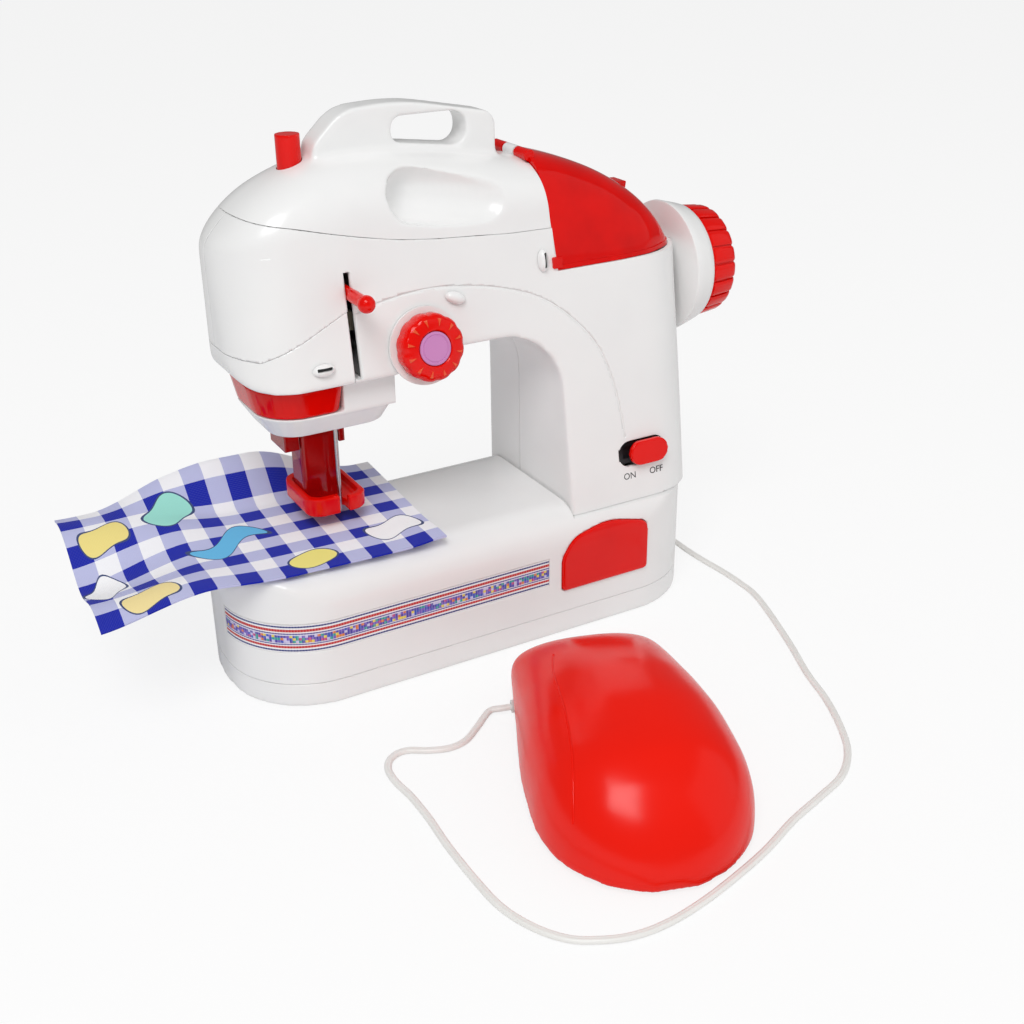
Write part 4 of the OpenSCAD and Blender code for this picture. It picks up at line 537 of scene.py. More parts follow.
def traced(name, points, r, finish):
    """A tree that lays a round bar along a line of points, as a plain mesh."""
    mesh = bpy.data.meshes.new(name)
    mesh.from_pydata([Vector(p) * MM for p in points], [(i, i + 1) for i in range(len(points) - 1)], [])

    def bar(tree, given):
        line = add(tree, "GeometryNodeMeshToCurve", {"Mesh": given["Geometry"]})
        ring = add(tree, "GeometryNodeCurvePrimitiveCircle", {"Resolution": 10, "Radius": given["Radius"]})
        return add(tree, "GeometryNodeCurveToMesh", {"Curve": line, "Profile Curve": ring, "Fill Caps": True})

    return grown(name, placed(name, mesh), {"Radius": ("Float", r * MM), "Finish": ("Material", finish)}, bar)


def on_guide(x, z, degrees):
    """Turn and shift of a thread guide on the leaning front."""
    turn, shift = on_front(x, z)
    c, s = math.cos(math.radians(degrees)), math.sin(math.radians(degrees))
    return turn @ np.array(((c, 0, s), (0, 1, 0), (-s, 0, c))), shift


def slit(guide):
    """The thread's way through a guide and the wall behind it."""
    return prism(pane(*SLIT), "Y", -8, 8, on_guide(*guide))


low, right = CREASE_Z - OVERLAP, PILLAR_R + DRAFT
arm_form = prism(rounded([
    (THROAT_X, low, 0), (PILLAR_R - SIDE_PAST, low, 0), (right + SIDE_PAST, LID_Z + OVERLAP, 0),
    (LID_X + LID_PAST, LID_Z + OVERLAP, 0), (LID_X + LID_PAST, SEAM_Z, 0), (HEAD_X, SEAM_Z, 0),
    (HEAD_X + SKIN_IN, NOSE_Z, NOSE_R), (BLOCK_X, NOSE_Z, 0), (BLOCK_X + BLOCK_DRAFT, UNDER_Z, 0),
    (THROAT_X, UNDER_Z, THROAT_R)]), "Y", -FAR, FAR)
for tool in (
        prism(rounded([(front_y(low), low, 0), (ARM_REAR + 1.05, low, 0), (ARM_REAR, SEAM_Z, 0),
                       (ARM_FRONT, SEAM_Z, 0)]), "X", -FAR, FAR),
        prism(rounded([(HEAD_X, 0, HEAD_R), (right, 0, PILLAR_EDGE_R), (right, FAR, 0), (HEAD_X, FAR, 0)]),
              "Z", -FAR, FAR, on_front(0, SEAM_Z)),
        prism(rounded([(HEAD_X, -FAR, 0), (right, -FAR, 0), (right, ARM_REAR + 1, PILLAR_EDGE_R),
                       (HEAD_X, ARM_REAR + 1, HEAD_R)]), "Z", 0, FAR)):
    arm_form = worked(arm_form, tool, "INTERSECT")
arm_form = worked(arm_form, dome(0, OVERLAP), "UNION")
arm_skin = softened(copy_of(arm_form), 1.0, 30, SKIN_IN)
for node in ("body_front", "body_rear", "nose_cover"):
    shell = worked(cast_of(node), copy_of(arm_skin), "INTERSECT")
    if node == "body_front":
        line = [(x, front_y(z) + SKIN_IN, z) for x, z in through(LINE, 6)]
        well = prism(pane(-WELL_L, WELL_L, -WELL_H, WELL_H, WELL_R), "Y", -4, 4, on_front(SWITCH_X, SWITCH_Z))
        for tool in (traced("moulded_line", line, 0.4, white_abs), slit(GUIDES[1]), well):
            shell = worked(shell, tool, "DIFFERENCE")
    if node == "nose_cover":
        shell = worked(shell, slit(GUIDES[0]), "DIFFERENCE")
    fitted(shell, node + "_moulding", white_abs, "machine", "white_plastic", node)
used_up(arm_skin)
guides = None
for guide in GUIDES + [BARE_GUIDE]:
    turn, shift = on_guide(*guide)
    a = np.linspace(0, 2 * math.pi, 40, False)
    rings = []
    for k in np.linspace(0, 1, 12):
        wide = math.sqrt(max(1 - k * k, 0.0004))
        rings.append(np.column_stack((GUIDE_L * wide * np.cos(a), np.full(40, SKIN_IN - 0.3 - GUIDE_OUT * k),
                                      GUIDE_W * wide * np.sin(a))) @ turn.T + shift)
    bump = loft("bump", rings)
    if guide in GUIDES:
        bump = worked(bump, slit(guide), "DIFFERENCE")
    guides = bump if guides is None else worked(guides, bump, "UNION")
fitted(guides, "thread_guide_loops", white_abs, "machine", "white_plastic", "thread_guides")
# Dark grey ABS of inner parts; the same finish is also painted shade on strips set behind the thread guides'
# slits
grey_abs_and_painted_shade = moulded("dark_grey_abs", "2A2B2E", "1F2023", 0.45)
# Painted shade: a dark grey strip behind each slit, where the slit's inside would only be in shadow
for guide in GUIDES:
    strip = prism(pane(*PAINTED_SHADE_PANE), "Y", -0.6, 1.4, on_guide(*guide))
    fitted(strip, "thread_guide_shade_%d" % guide[2], grey_abs_and_painted_shade, "machine", "dark_plastic")

# Drive inside the arm.
# Steel main shaft in nylon bushes, nylon gear and pinion, a can motor, a steel crank and the
# pressed frames that carry them. They keep the drawn shapes.
# Natural nylon: milky cream and waxy
nylon = moulded("natural_nylon", "E9E2CC", "DCD3B8", 0.42)
painted(plated_steel, "main_shaft", "motor_shaft", "motor", "crank_disc", "needle_bar", "presser_bar",
        "lid_pin", "pedal_pin", "mechanism_frame", "head_frame", "needle_clamp")
painted(nylon, "shaft_bushes", "drive_gear", "motor_pinion", "needle_yoke")
painted(grey_abs_and_painted_shade, "switch_body", "pedal_switch", "spool_tray")
painted(stainless, "needle")

# Head: lamp window, plate, guard, lamp, presser foot, lifting knob and take-up lever.
# Clear red styrene over the lamp and round the needle, a white ABS plate between them, and red ABS
# for what the fingers move.
NEEDLE_X, PRESSER_X, PRESSER_Y, BAR_BORE = -49.5, -55.0, 11.0, 2.6
FOOT_R, FOOT_TOP, FOOT_HIGH, FOOT_LOW, FOOT_RIM, FOOT_FLOOR, FOOT_SLOT = 7.0, 7.6, 7.4, 6.2, 2.6, 3.4, 1.8


def circle(x, y, r, count=40):
    """A round outline."""
    a = np.linspace(0, 2 * math.pi, count, False)
    return np.column_stack((x + r * np.cos(a), y + r * np.sin(a)))


def coil(node, low, high, r, wire, turns, top):
    """A tree that winds wire into a spring between two corners, in a drawn one's place."""
    middle, name = (low + high) / 2, node + "_coil"

    def wound(tree, given):
        tall = add(tree, "ShaderNodeMath", {0: given["High"], 1: given["Low"]}, operation="SUBTRACT")
        line = add(tree, "GeometryNodeCurveSpiral", {
            "Resolution": 24, "Rotations": given["Turns"], "Start Radius": given["Radius"],
            "End Radius": given["Radius"], "Height": tall})
        ring = add(tree, "GeometryNodeCurvePrimitiveCircle", {"Resolution": 8, "Radius": given["Wire"]})
        tube = add(tree, "GeometryNodeCurveToMesh", {"Curve": line, "Profile Curve": ring, "Fill Caps": True})
        lift = add(tree, "ShaderNodeCombineXYZ", {2: given["Low"]})
        return add(tree, "GeometryNodeTransform", {"Geometry": tube, "Translation": lift})

    made = grown(name, placed(name, bpy.data.meshes.new(name)), {
        "Radius": ("Float", r * MM), "Wire": ("Float", wire * MM), "Low": ("Float", low.z + 0.5 * MM),
        "High": ("Float", high.z - top * MM), "Turns": ("Float", turns),
        "Finish": ("Material", plated_steel)}, wound)
    made.data.transform(Matrix.Translation((middle.x, middle.y, 0)))
    return fitted(made, name, plated_steel, "machine", "steel", node)


# Clear red styrene: glassy; soft patches 20 mm across between bright and deep red are painted shade and
# highlight, standing in for what shows through the lid
clear_red = moulded("clear_red_styrene", "FF0C03", "C40506", 0.06, 20.0, skin=0.008, clear=0.15, shine=0.2)
# The same styrene in a block: darker, because the light goes further through it
stem_red = moulded("clear_red_styrene_block", "C40A0C", "A8060A", 0.08, skin=0.008, clear=0.35, shine=0.5)
# Lens of a white lamp: clear epoxy, slightly milky
lens = moulded("milky_epoxy_lens", "F6F6EE", "ECECE2", 0.12, clear=0.5)
mould_of("lamp_window", 0.5, 4, clear_red, "machine", "clear_red")
mould_of("head_plate", 0.5, 5, white_abs, "machine", "white_plastic")
mould_of("needle_guard", 0.4, 4, stem_red, "machine", "clear_red")
low, high = (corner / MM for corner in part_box("presser_foot"))
foot = prism(pane(low.x, high.x, low.y, high.y, FOOT_R), "Z", low.z, low.z + FOOT_TOP)
foot = worked(foot, prism(rounded([
    (low.x, low.z, 1.4), (high.x, low.z, 1.4), (high.x, low.z + FOOT_LOW, 1.6),
    (NEEDLE_X - 0.5, low.z + FOOT_LOW, 9), (NEEDLE_X - 2.5, low.z + FOOT_HIGH, 9),
    (low.x, low.z + FOOT_HIGH, 1.6)], 6), "Y", -30, 60), "INTERSECT")
tray = pane(low.x + FOOT_RIM, high.x - FOOT_RIM, low.y + 2.8, high.y - FOOT_RIM, 4.6)
slot = rounded([(NEEDLE_X - FOOT_SLOT, -30, 0), (NEEDLE_X + FOOT_SLOT, -30, 0),
                (NEEDLE_X + FOOT_SLOT, FOOT_SLOT, 1.7), (NEEDLE_X - FOOT_SLOT, FOOT_SLOT, 1.7)], 8)
foot = worked(foot, prism(tray, "Z", low.z + FOOT_FLOOR, low.z + 20), "DIFFERENCE")
foot = worked(foot, prism(slot, "Z", low.z - 9, low.z + 14), "DIFFERENCE")
fitted(softened(foot, 0.4, 6), "presser_foot_moulding", red_abs, "presser", "red_plastic", "presser_foot")
block = pane(PRESSER_X - 6.5, PRESSER_X + 8.5, PRESSER_Y - 5.5, PRESSER_Y + 7, 1.5)
stem = prism(block, "Z", low.z + 3, high.z)
stem = worked(stem, prism(circle(PRESSER_X, PRESSER_Y, BAR_BORE), "Z", high.z - 8, high.z + 9), "DIFFERENCE")
fitted(softened(stem, 0.4, 5), "presser_foot_stem", stem_red, "presser", "clear_red")
mould_of("presser_knob", 0.35, 5, red_abs, "presser", "red_plastic")
mould_of("take_up_lever", 0.3, 4, red_abs, "needle_group", "red_plastic")
painted(lens, "lamp_led")
low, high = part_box("presser_spring")
spring = coil("presser_spring", low, high, 3.75, 0.38, 9.0, 0.5)
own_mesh(spring)

# Top cover with its carry handle.
# One white ABS moulding: a dome over the arm, a handle along its ridge with a slot for the fingers, and
# a scoop on either side where they reach in. It meets the arm along a line that falls to the right.
HANDLE_Z, HANDLE_FOOT, HANDLE_LEFT, HANDLE_RIGHT, COVER_WALL = 210.5, 180.5, -49.5, 24.5, 2.4
HOLE_LEFT, HOLE_RIGHT, HOLE_TOP, KNOB_BORE, COVER_TOP, PAST = -18.0, 11.5, 204.4, 4.7, 230.0, 80.0
SEAM = [(-0.1, 13), (0.06, 12.3), (0.109, 11), (0.188, 9.2), (0.289, 6), (0.39, 3), (0.5, 0.3),
        (0.617, -1.4), (0.734, -2.4), (0.855, -3.5), (1, -3.8), (1.3, -4)]
# The two ends of a scoop: radius, place along, way out from the middle, height
SCOOP = [(10.5, -18, 21.5, 180.7), (10.2, 9.5, 29.5, 177.3)]
KNUCKLE = circle(34.5, 187, 2.2)


def scoop(grow, side):
    """The hollow that the fingers reach into, deep at its left and shallow at its right."""
    ball = np.array([[math.cos(a) * math.cos(b), math.sin(a) * math.cos(b), math.sin(b)]
                     for b in np.linspace(-math.pi / 2, math.pi / 2, 17)
                     for a in np.linspace(0, 2 * math.pi, 32, False)])
    work = bmesh.new()
    for r, x, out, z in SCOOP:
        for p in ball * (r + grow) + (x, ARM_BACK + side * out, z):
            work.verts.new(Vector(p) * MM)
    hull = bmesh.ops.convex_hull(work, input=work.verts)
    inner = [v for v in hull["geom_interior"] if isinstance(v, bmesh.types.BMVert)]
    bmesh.ops.delete(work, geom=inner, context="VERTS")
    return shaped("scoop", work)


cover = worked(arm_form, prism(rounded([
    (HANDLE_LEFT, HANDLE_FOOT, 0), (HANDLE_RIGHT, HANDLE_FOOT, 0), (HANDLE_RIGHT, HANDLE_Z - 7, 6),
    (-14, HANDLE_Z + 0.5, 90), (-37, HANDLE_Z - 0.8, 18), (HANDLE_LEFT, 198, 9)]), "Y", 3.3, 16.7), "UNION")
cover = worked(cover, prism(rounded([
    (HOLE_LEFT, 196.6, 3.4), (HOLE_RIGHT, 192.6, 5), (HOLE_RIGHT, HOLE_TOP, 5), (HOLE_LEFT, HOLE_TOP, 3.4)]),
    "Y", -10, 30), "DIFFERENCE")
hollow = dome(COVER_WALL + SKIN_IN, 14)
for side in (-1, 1):
    cover = worked(cover, scoop(-0.4, side), "DIFFERENCE")
    hollow = worked(hollow, scoop(COVER_WALL, side), "DIFFERENCE")
softened(cover, 0.9, 18, SKIN_IN)
cover = worked(cover, hollow, "DIFFERENCE")
shares = np.linspace(-0.1, 1.3, 90)
line = np.column_stack((HEAD_X + (LID_X - HEAD_X) * shares, SEAM_Z + 0.15 + eased(SEAM, shares)))
above = np.vstack((line, (120, COVER_TOP), (-120, COVER_TOP)))
beside = np.array([(lid_side(130) - 0.3, 130), (160, 130), (160, COVER_TOP),
                   (lid_side(COVER_TOP) - 0.3, COVER_TOP)])
cover = worked(cover, prism(above, "Y", -PAST, PAST), "INTERSECT")
cover = worked(cover, prism(beside, "Y", -PAST, PAST), "DIFFERENCE")
cover = worked(cover, prism(circle(PRESSER_X, PRESSER_Y, KNOB_BORE), "Z", 150, COVER_TOP), "DIFFERENCE")
cover = worked(cover, prism(KNUCKLE, "Y", 6.2, 13.8), "UNION")
fitted(cover, "top_cover_moulding", white_abs, "machine", "white_plastic", "top_cover")

# Lid of the thread compartment, its hinge, and the reel under it.
# Clear red styrene, vaulted to follow the dome and falling to the pillar's end, with a thick rim at its
# left and lower edges and a finger tab on its ridge; the reel and its pin stand on a dark tray under it.
LID_LEFT, LID_L, LID_RISE, LID_HALF, LID_GAP, LID_EDGE = 31.5, 67.5, 43.0, 25.5, 0.3, 2.2
LID = [(0, 1, 1), (0.15, 1, 0.95), (0.465, 1, 0.78), (0.7, 0.95, 0.58), (0.86, 0.8, 0.37),
       (0.95, 0.64, 0.17), (1, 0.44, 0.03)]


def vault(inset, sink):
    """The lid as a solid, drawn in by an inset."""
    rings, foot = [], LID_Z + LID_GAP
    for share in np.sin(np.linspace(0, math.pi / 2, 56)):
        half = max(LID_HALF * eased(LID, share) - inset, 0.5)
        crest = foot + max(LID_RISE * eased(LID, share, 2) - inset, 0.4)
        rings.append(skirted(LID_LEFT + (LID_L - inset) * share, arch(ARM_BACK, half, foot, crest, 2.8),
                             LID_Z - sink))
    return loft("vault", rings)


def lid_shell(outer, inner, right):
    """A shell of the vault between the lid's left edge and a line beside it."""
    low, shell = LID_Z + LID_GAP, worked(vault(outer, 4), vault(inner, 8), "DIFFERENCE")
    part = np.array([(lid_side(low), low), (lid_side(low) + right, low),
                     (lid_side(COVER_TOP) + right, COVER_TOP), (lid_side(COVER_TOP), COVER_TOP)])
    return worked(shell, prism(part, "Y", -PAST, PAST), "INTERSECT")


lid = worked(lid_shell(0.4, 2.0, 120), lid_shell(0, 2.1, LID_EDGE), "UNION")
rim = worked(lid_shell(0, 2.1, 120), prism(pane(0, 160, 140, LID_Z + 2), "Y", -PAST, PAST), "INTERSECT")
tab = prism(rounded([(78, 164, 0), (83.5, 164, 0), (84.5, 170.2, 0.6), (79, 170.4, 2)]), "Y", 6, 14)
lid = worked(worked(lid, rim, "UNION"), tab, "UNION")
for corner in lid.data.vertices:
    out = min(max((ARM_BACK - corner.co.y / MM) / LID_HALF, 0.0), 1.0) * max(SEAM_Z - corner.co.z / MM, 0.0)
    corner.co.y -= LEAN_OUT / (SEAM_Z - CREASE_Z) * out * 0.8 * MM
catch = rounded([(35.6, 147.2, 0.5), (39.6, 147.2, 0), (39.6, 151.4, 0), (35.6, 151.4, 0.5)], 4)
for outline, low, high in ((KNUCKLE, -2.8, 5.4), (KNUCKLE, 14.6, 22.8), (catch, -18.6, -16.4)):
    lid = worked(lid, prism(outline, "Y", low, high), "UNION")
fitted(lid, "thread_lid_moulding", clear_red, "lid", "clear_red", "thread_lid")
painted(white_abs, "spool_pin", "thread_spool")

# Wheel collar and handwheel.
# A plain white ABS collar on the pillar's end, and a red ABS wheel with twenty flat ribs pressed on
# the shaft.
SHAFT_Z, COLLAR_X, WHEEL_X, RIBS, RIB_SHARE = 131.5, 105.3, 116.6, 20, 0.86
# Profiles as (along the shaft, radius); ribs as (along the shaft, foot, crest)
COLLAR = [(0, 4.2), (0, 26.4), (0.3, 27.0), (1.0, 27.1), (4, 26.3), (8, 25.2), (10.0, 24.5), (10.7, 23.9),
          (11, 23.0), (11, 4.2)]
WHEEL = [(0, 2.53), (0, 21.6), (0.4, 22.2), (1.0, 22.4), (10.4, 21.4), (11.6, 20.9), (12.3, 20.0),
         (12.45, 18.8), (12.4, 17.6), (11.8, 17.0), (10.0, 16.7), (9.6, 16.2), (9.5, 15.4), (9.5, 8.2),
         (9.8, 7.4), (12.0, 7.0), (12.4, 6.2), (12.4, 0.4), (9.6, 0.4), (9.6, 2.53)]
RIB = [(0.35, 20.5, 22.9), (0.9, 20.5, 23.45), (2.0, 20.5, 23.5), (9.8, 20.0, 22.7), (11.2, 19.6, 22.2),
       (12.0, 19.2, 21.4), (12.4, 18.9, 20.2)]


def turned(start, profile, count=160):
    """A ring turned about X from a profile that starts at a place along it."""
    a = np.linspace(0, 2 * math.pi, count, False)
    return loft("turned", [np.column_stack((np.full(count, start + along), r * np.cos(a), r * np.sin(a)))
                           for along, r in profile], closed=True)


def ring_of(name, piece, count, axis, finish):
    """A tree that sets a piece round an axis, as a plain mesh; the piece is used up."""

    def set_out(tree, given):
        spots = add(tree, "GeometryNodeMeshLine", {"Count": given["Count"], "Offset": (0.0, 0.0, 0.0)})
        turn = add(tree, "ShaderNodeMath", {0: 2 * math.pi, 1: given["Count"]}, operation="DIVIDE")
        angle = add(tree, "ShaderNodeMath", {0: add(tree, "GeometryNodeInputIndex"), 1: turn},
                    operation="MULTIPLY")
        about = add(tree, "ShaderNodeVectorMath", {0: given["Axis"], "Scale": angle}, operation="SCALE")
        model = add(tree, "GeometryNodeObjectInfo", {"Object": given["Piece"], "As Instance": True})
        return add(tree, "GeometryNodeInstanceOnPoints", {
            "Points": spots, "Instance": model.outputs["Geometry"], "Rotation": about})

    made = grown(name, placed(name, bpy.data.meshes.new(name)), {
        "Piece": ("Object", piece), "Count": ("Int", count), "Axis": ("Vector", axis),
        "Finish": ("Material", finish)}, set_out)
    used_up(piece)
    return made


on_shaft = Matrix.Translation((0, ARM_BACK * MM, SHAFT_Z * MM))
collar = turned(COLLAR_X, COLLAR)
collar.data.transform(on_shaft)
fitted(collar, "wheel_collar_moulding", white_abs, "machine", "white_plastic", "wheel_collar")
wheel = turned(WHEEL_X, WHEEL)
wheel.data.transform(on_shaft)
fitted(wheel, "handwheel_moulding", red_abs, "drive", "red_plastic", "handwheel")
rings, half = [], math.pi / RIBS * RIB_SHARE
for along, base, out in RIB:
    section = [(base * math.sin(-half), base * math.cos(half))]
    for k in np.linspace(-1, 1, 9):
        lift = out - 0.5 * max(abs(k) - 0.7, 0) / 0.3
        section.append((lift * math.sin(half * k), lift * math.cos(half * k)))
    section.append((base * math.sin(half), base * math.cos(half)))
    rings.append([(WHEEL_X + along, y, z) for y, z in section])
ribs = ring_of("handwheel_ribs", loft("rib", rings), RIBS, (1.0, 0.0, 0.0), red_abs)
ribs.data.transform(on_shaft)
fitted(ribs, "handwheel_ribs", red_abs, "drive", "red_plastic")

# Tension dial.
# A red ABS knob with a lightly scalloped rim and twelve raised pointers round its face, a bare lilac cap
# in its middle, on a low white boss.
DIAL_X, DIAL_Z, POINTERS, SCALLOP_SHARE = -20.7, 128.0, 12, 0.03
# Profiles as (radius, way out from the front)
DIAL = [(2.6, 1.2), (11.7, 1.2), (12.3, 1.6), (12.5, 2.4), (12.5, 5.6), (12.3, 6.9), (11.6, 8.0), (10.4, 8.6),
        (8.8, 8.85), (7.4, 8.8), (6.9, 8.95), (6.5, 8.7), (6.4, 8.1), (6.3, 7.9), (2.6, 7.9), (2.6, 5.2)]
CAP = [(0.05, 8.2), (6.0, 8.2), (6.15, 8.4), (6.1, 8.75), (5.7, 8.95), (5.2, 9.0), (5.05, 8.8), (4.8, 8.8),
       (4.65, 9.0), (0.05, 9.05)]


def set_on(x, z):
    """The matrix that sets a thing on the leaning front."""
    turn, shift = on_front(x, z)
    return Matrix.Translation(Vector(shift) * MM) @ Matrix([list(row) for row in turn]).to_4x4()


def knob(profile, dip, count):
    """Rings about the dial's post, with scallops at the rim."""
    rings = []
    a = np.linspace(0, 2 * math.pi, count, False)
    for r, out in profile:
        rr = r * (1 - dip * min(max((r - 9.0) / 2.6, 0.0), 1.0) * (0.5 + 0.5 * np.cos(POINTERS * a)) ** 2)
        rings.append(np.column_stack((rr * np.cos(a), np.full(count, -out), rr * np.sin(a))))
    return rings


# Lilac ABS, a little duller than the red round it
lilac_abs = moulded("lilac_abs_cap", "D08CC4", "C781BA", 0.3)
# Red ABS of the pointers, painted orange-red all over as a painted highlight for the light their raised
# facets catch
pointer_highlight_abs = moulded("red_abs_rubbed", "F0673A", "E4401F", 0.2, flow_and_shade_mm=1.5)
on_dial = set_on(DIAL_X, DIAL_Z)
dial = loft("dial", knob(DIAL, SCALLOP_SHARE, 240), closed=True)
dial.data.transform(on_dial)
fitted(dial, "tension_dial_moulding", red_abs, "dial", "red_plastic", "tension_dial")
wedge = solid("wedge", [(-0.75, -8.3, 10.9), (0.75, -8.3, 10.9), (0, -8.5, 8.0), (-0.5, -8.95, 10.6),
                        (0.5, -8.95, 10.6), (0, -9.2, 8.2)],
              [(0, 1, 2), (3, 5, 4), (0, 3, 4, 1), (1, 4, 5, 2), (2, 5, 3, 0)])
wedge.data.transform(Matrix.Rotation(math.pi / POINTERS, 4, "Y"))
marks = ring_of("tension_dial_pointers", wedge, POINTERS, (0.0, 1.0, 0.0), pointer_highlight_abs)
marks.data.transform(on_dial)
fitted(marks, "tension_dial_pointers", pointer_highlight_abs, "dial", "red_plastic")
cap = loft("cap", knob(CAP, 0.0, 96))
cap.data.transform(on_dial)
fitted(cap, "dial_cap_disc", lilac_abs, "dial", "lilac_plastic", "dial_cap")
painted(white_abs, "dial_post")

# Slide switch.
# A red ABS pill that slides in a recess low on the pillar; under it the two plain words for its two ends
# are printed in black.
WORD_Z, WORD_H, INK = 58.6, 3.8, 0.03
mould_of("power_switch", 0.35, 8, red_abs, "switch", "red_plastic")
# Pad-printed ink: flat black, thin enough to show a little grey
print_ink = moulded("black_pad_ink", "1B1B1D", "2A2A2C", 0.55, flow_and_shade_mm=2.0)
for word, x in (("ON", 64.5), ("OFF", 77.5)):
    curve = bpy.data.curves.new(word, "FONT")
    curve.body, curve.size, curve.align_x, curve.extrude = word, WORD_H * MM, "CENTER", INK * MM
    drawn = placed(word, curve)
    mesh = bpy.data.meshes.new_from_object(drawn.evaluated_get(bpy.context.evaluated_depsgraph_get()))
    bpy.data.objects.remove(drawn)
    mesh.transform(set_on(x, WORD_Z) @ Matrix.Translation((0, (SKIN_IN - 0.02) * MM, 0))
                   @ Matrix.Rotation(math.pi / 2, 4, "X"))
    name = "switch_word_" + word.lower()
    fitted(placed(name, mesh), name, print_ink, "machine", "dark_plastic")

# Foot pedal.
# A red ABS hood over a flat red sole, hinged at its near end and held up by a coil spring.
PEDAL_L, PEDAL_W, PEDAL_H, PEDAL_WALL, PEDAL_SQUARE = 118.0, 74.0, 40.0, 2.0, 2.5
PEDAL_RIM, PEDAL_FLARE, PEDAL_BEND = 1.5, 13.5, 1.8
PEDAL_TURN, PEDAL_AT = math.radians(-18), np.array((-5.0, -132.3, 0.0))
PEDAL = [(0, 0.2, 0.15), (0.012, 0.3, 0.26), (0.034, 0.46, 0.4), (0.088, 0.69, 0.61), (0.16, 0.865, 0.79),
         (0.25, 0.97, 0.92), (0.33, 1, 0.965), (0.47, 0.99, 1), (0.6, 0.94, 0.98), (0.72, 0.88, 0.92),
         (0.86, 0.82, 0.8), (0.94, 0.78, 0.69), (0.98, 0.72, 0.6), (1, 0.62, 0.52)]
CREASE = [(-17, 34), (-20, 22), (-21.3, 11), (-22.7, -8.1), (-24.7, -23.8), (-27.4, -36.8), (-28.5, -41)]


def on_pedal(points):
    """Points of the pedal, set down where it lies."""
    c, s = math.cos(PEDAL_TURN), math.sin(PEDAL_TURN)
    return np.asarray(points, float) @ np.array(((c, -s, 0), (s, c, 0), (0, 0, 1))).T + PEDAL_AT


def pedal_form(share):
    """Rim, half-width and crest of the pedal at a share of its length."""
    return (PEDAL_RIM + PEDAL_FLARE * share ** PEDAL_BEND, PEDAL_W / 2 * eased(PEDAL, share),
            PEDAL_H * eased(PEDAL, share, 2))


def hood(inset):
    """The pedal's hood as a solid, drawn in by an inset."""
    rings = []
    for share in (1 - np.cos(np.linspace(0, math.pi, 72))) / 2:
        rim, half, crest = pedal_form(share)
        line = arch(0, half - inset, rim - (1.0 if inset else 0.0), max(crest, rim + 3) - inset,
                    PEDAL_SQUARE, 72)
        v = -PEDAL_L / 2 + inset + (PEDAL_L - 2 * inset) * share
        rings.append(on_pedal(np.column_stack((line[:, 0], np.full(len(line), v), line[:, 1]))))
    return loft("hood", rings)


# Red ABS with a satin skin, as the pedal's broad back shows it
pedal_abs = moulded("red_abs_satin", "F51803", "EA1402", 0.22, skin=0.012, shine=0.28)
pedal = softened(hood(0), 0.8, 12)
# A fine moulded crease left of the crown
groove = []
for across, along in through(CREASE, 8):
    rim, half, crest = pedal_form(along / PEDAL_L + 0.5)
    share = (1 - abs(across / half) ** PEDAL_SQUARE) ** (1 / PEDAL_SQUARE)
    groove.append((across, along, rim + (crest - rim) * share + 0.1))
pedal = worked(pedal, traced("crown_crease", on_pedal(groove), 0.45, pedal_abs), "DIFFERENCE")
pedal = worked(pedal, hood(PEDAL_WALL), "DIFFERENCE")
fitted(pedal, "pedal_shell_moulding", pedal_abs, "pedal", "red_plastic", "pedal_shell")
painted(pedal_abs, "pedal_base")
low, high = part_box("pedal_spring")
spring = coil("pedal_spring", low, high, 4.55, 0.42, 8.0, 0.6)
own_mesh(spring)

# Cord from the base to the pedal.
# White twin flex, two cores side by side in PVC, lying loose on the floor round the pedal; it goes
# into a strain relief at each end.
CORD_W, CORE_R, CORE_APART, CORD_LIE = 2.7, 0.97, 0.38, 1.5
GLAND_ACROSS, GLAND_ALONG = -29.64, 48.0
FLOOR_ROUTE = [
    (115, -18), (116, -32), (116, -44), (115, -55), (110, -71), (101, -95), (93, -114), (87, -132),
    (79, -149), (71, -161), (60, -170), (46, -175), (30, -180), (13, -187), (-3, -192), (-19, -196),
    (-34, -198), (-46, -197), (-56, -193), (-63, -188), (-69, -179), (-73, -167), (-74, -153), (-74, -134),
    (-73, -118), (-73, -105), (-74, -94), (-73, -86), (-69, -81), (-63, -80), (-56, -84), (-49, -86.5),
    (-42, -85.5)]
route = [(102, 2, 6), (105.6, 2, 6), (109, 1.2, 5.3), (112, -2, 3.6), (114, -8, 2)]
route += [(x, y, CORD_LIE) for x, y in FLOOR_ROUTE] + [(-34.5, -80.5, 1.7)]
route += [tuple(on_pedal([(GLAND_ACROSS - lead, GLAND_ALONG, z)])[0])
          for lead, z in ((8.5, 2.3), (4, 2.9), (0, 3), (-4, 3))]
path = through(route, 8)
path[:, 2] -= 0.45 * np.clip((4 - path[:, 2]) / 2.5, 0, 1)
ahead = np.gradient(path, axis=0)
ahead /= np.linalg.norm(ahead, axis=1)[:, None]
across = np.cross(ahead, (0, 0, 1))
across /= np.linalg.norm(across, axis=1)[:, None]
upward = np.cross(across, ahead)
section = []
for side in (1, -1):
    for a in np.linspace(-0.72 * math.pi, 0.72 * math.pi, 12):
        section.append((side * (CORE_APART + CORE_R * math.cos(a)), CORE_R * math.sin(a) * side))
rings = [p + np.array([s[0] * x + s[1] * u for s in section]) for p, x, u in zip(path, across, upward)]
cord = loft("cord", rings)
# Soft white PVC: smooth and faintly warm
white_pvc = moulded("white_pvc_flex", "F3F2EF", "E9E8E4", 0.36, flow_and_shade_mm=9.0)
fitted(cord, "pedal_cord", white_pvc, "machine", "cord_white", "cord", angle=60)
painted(white_pvc, "cord_gland", "pedal_gland")

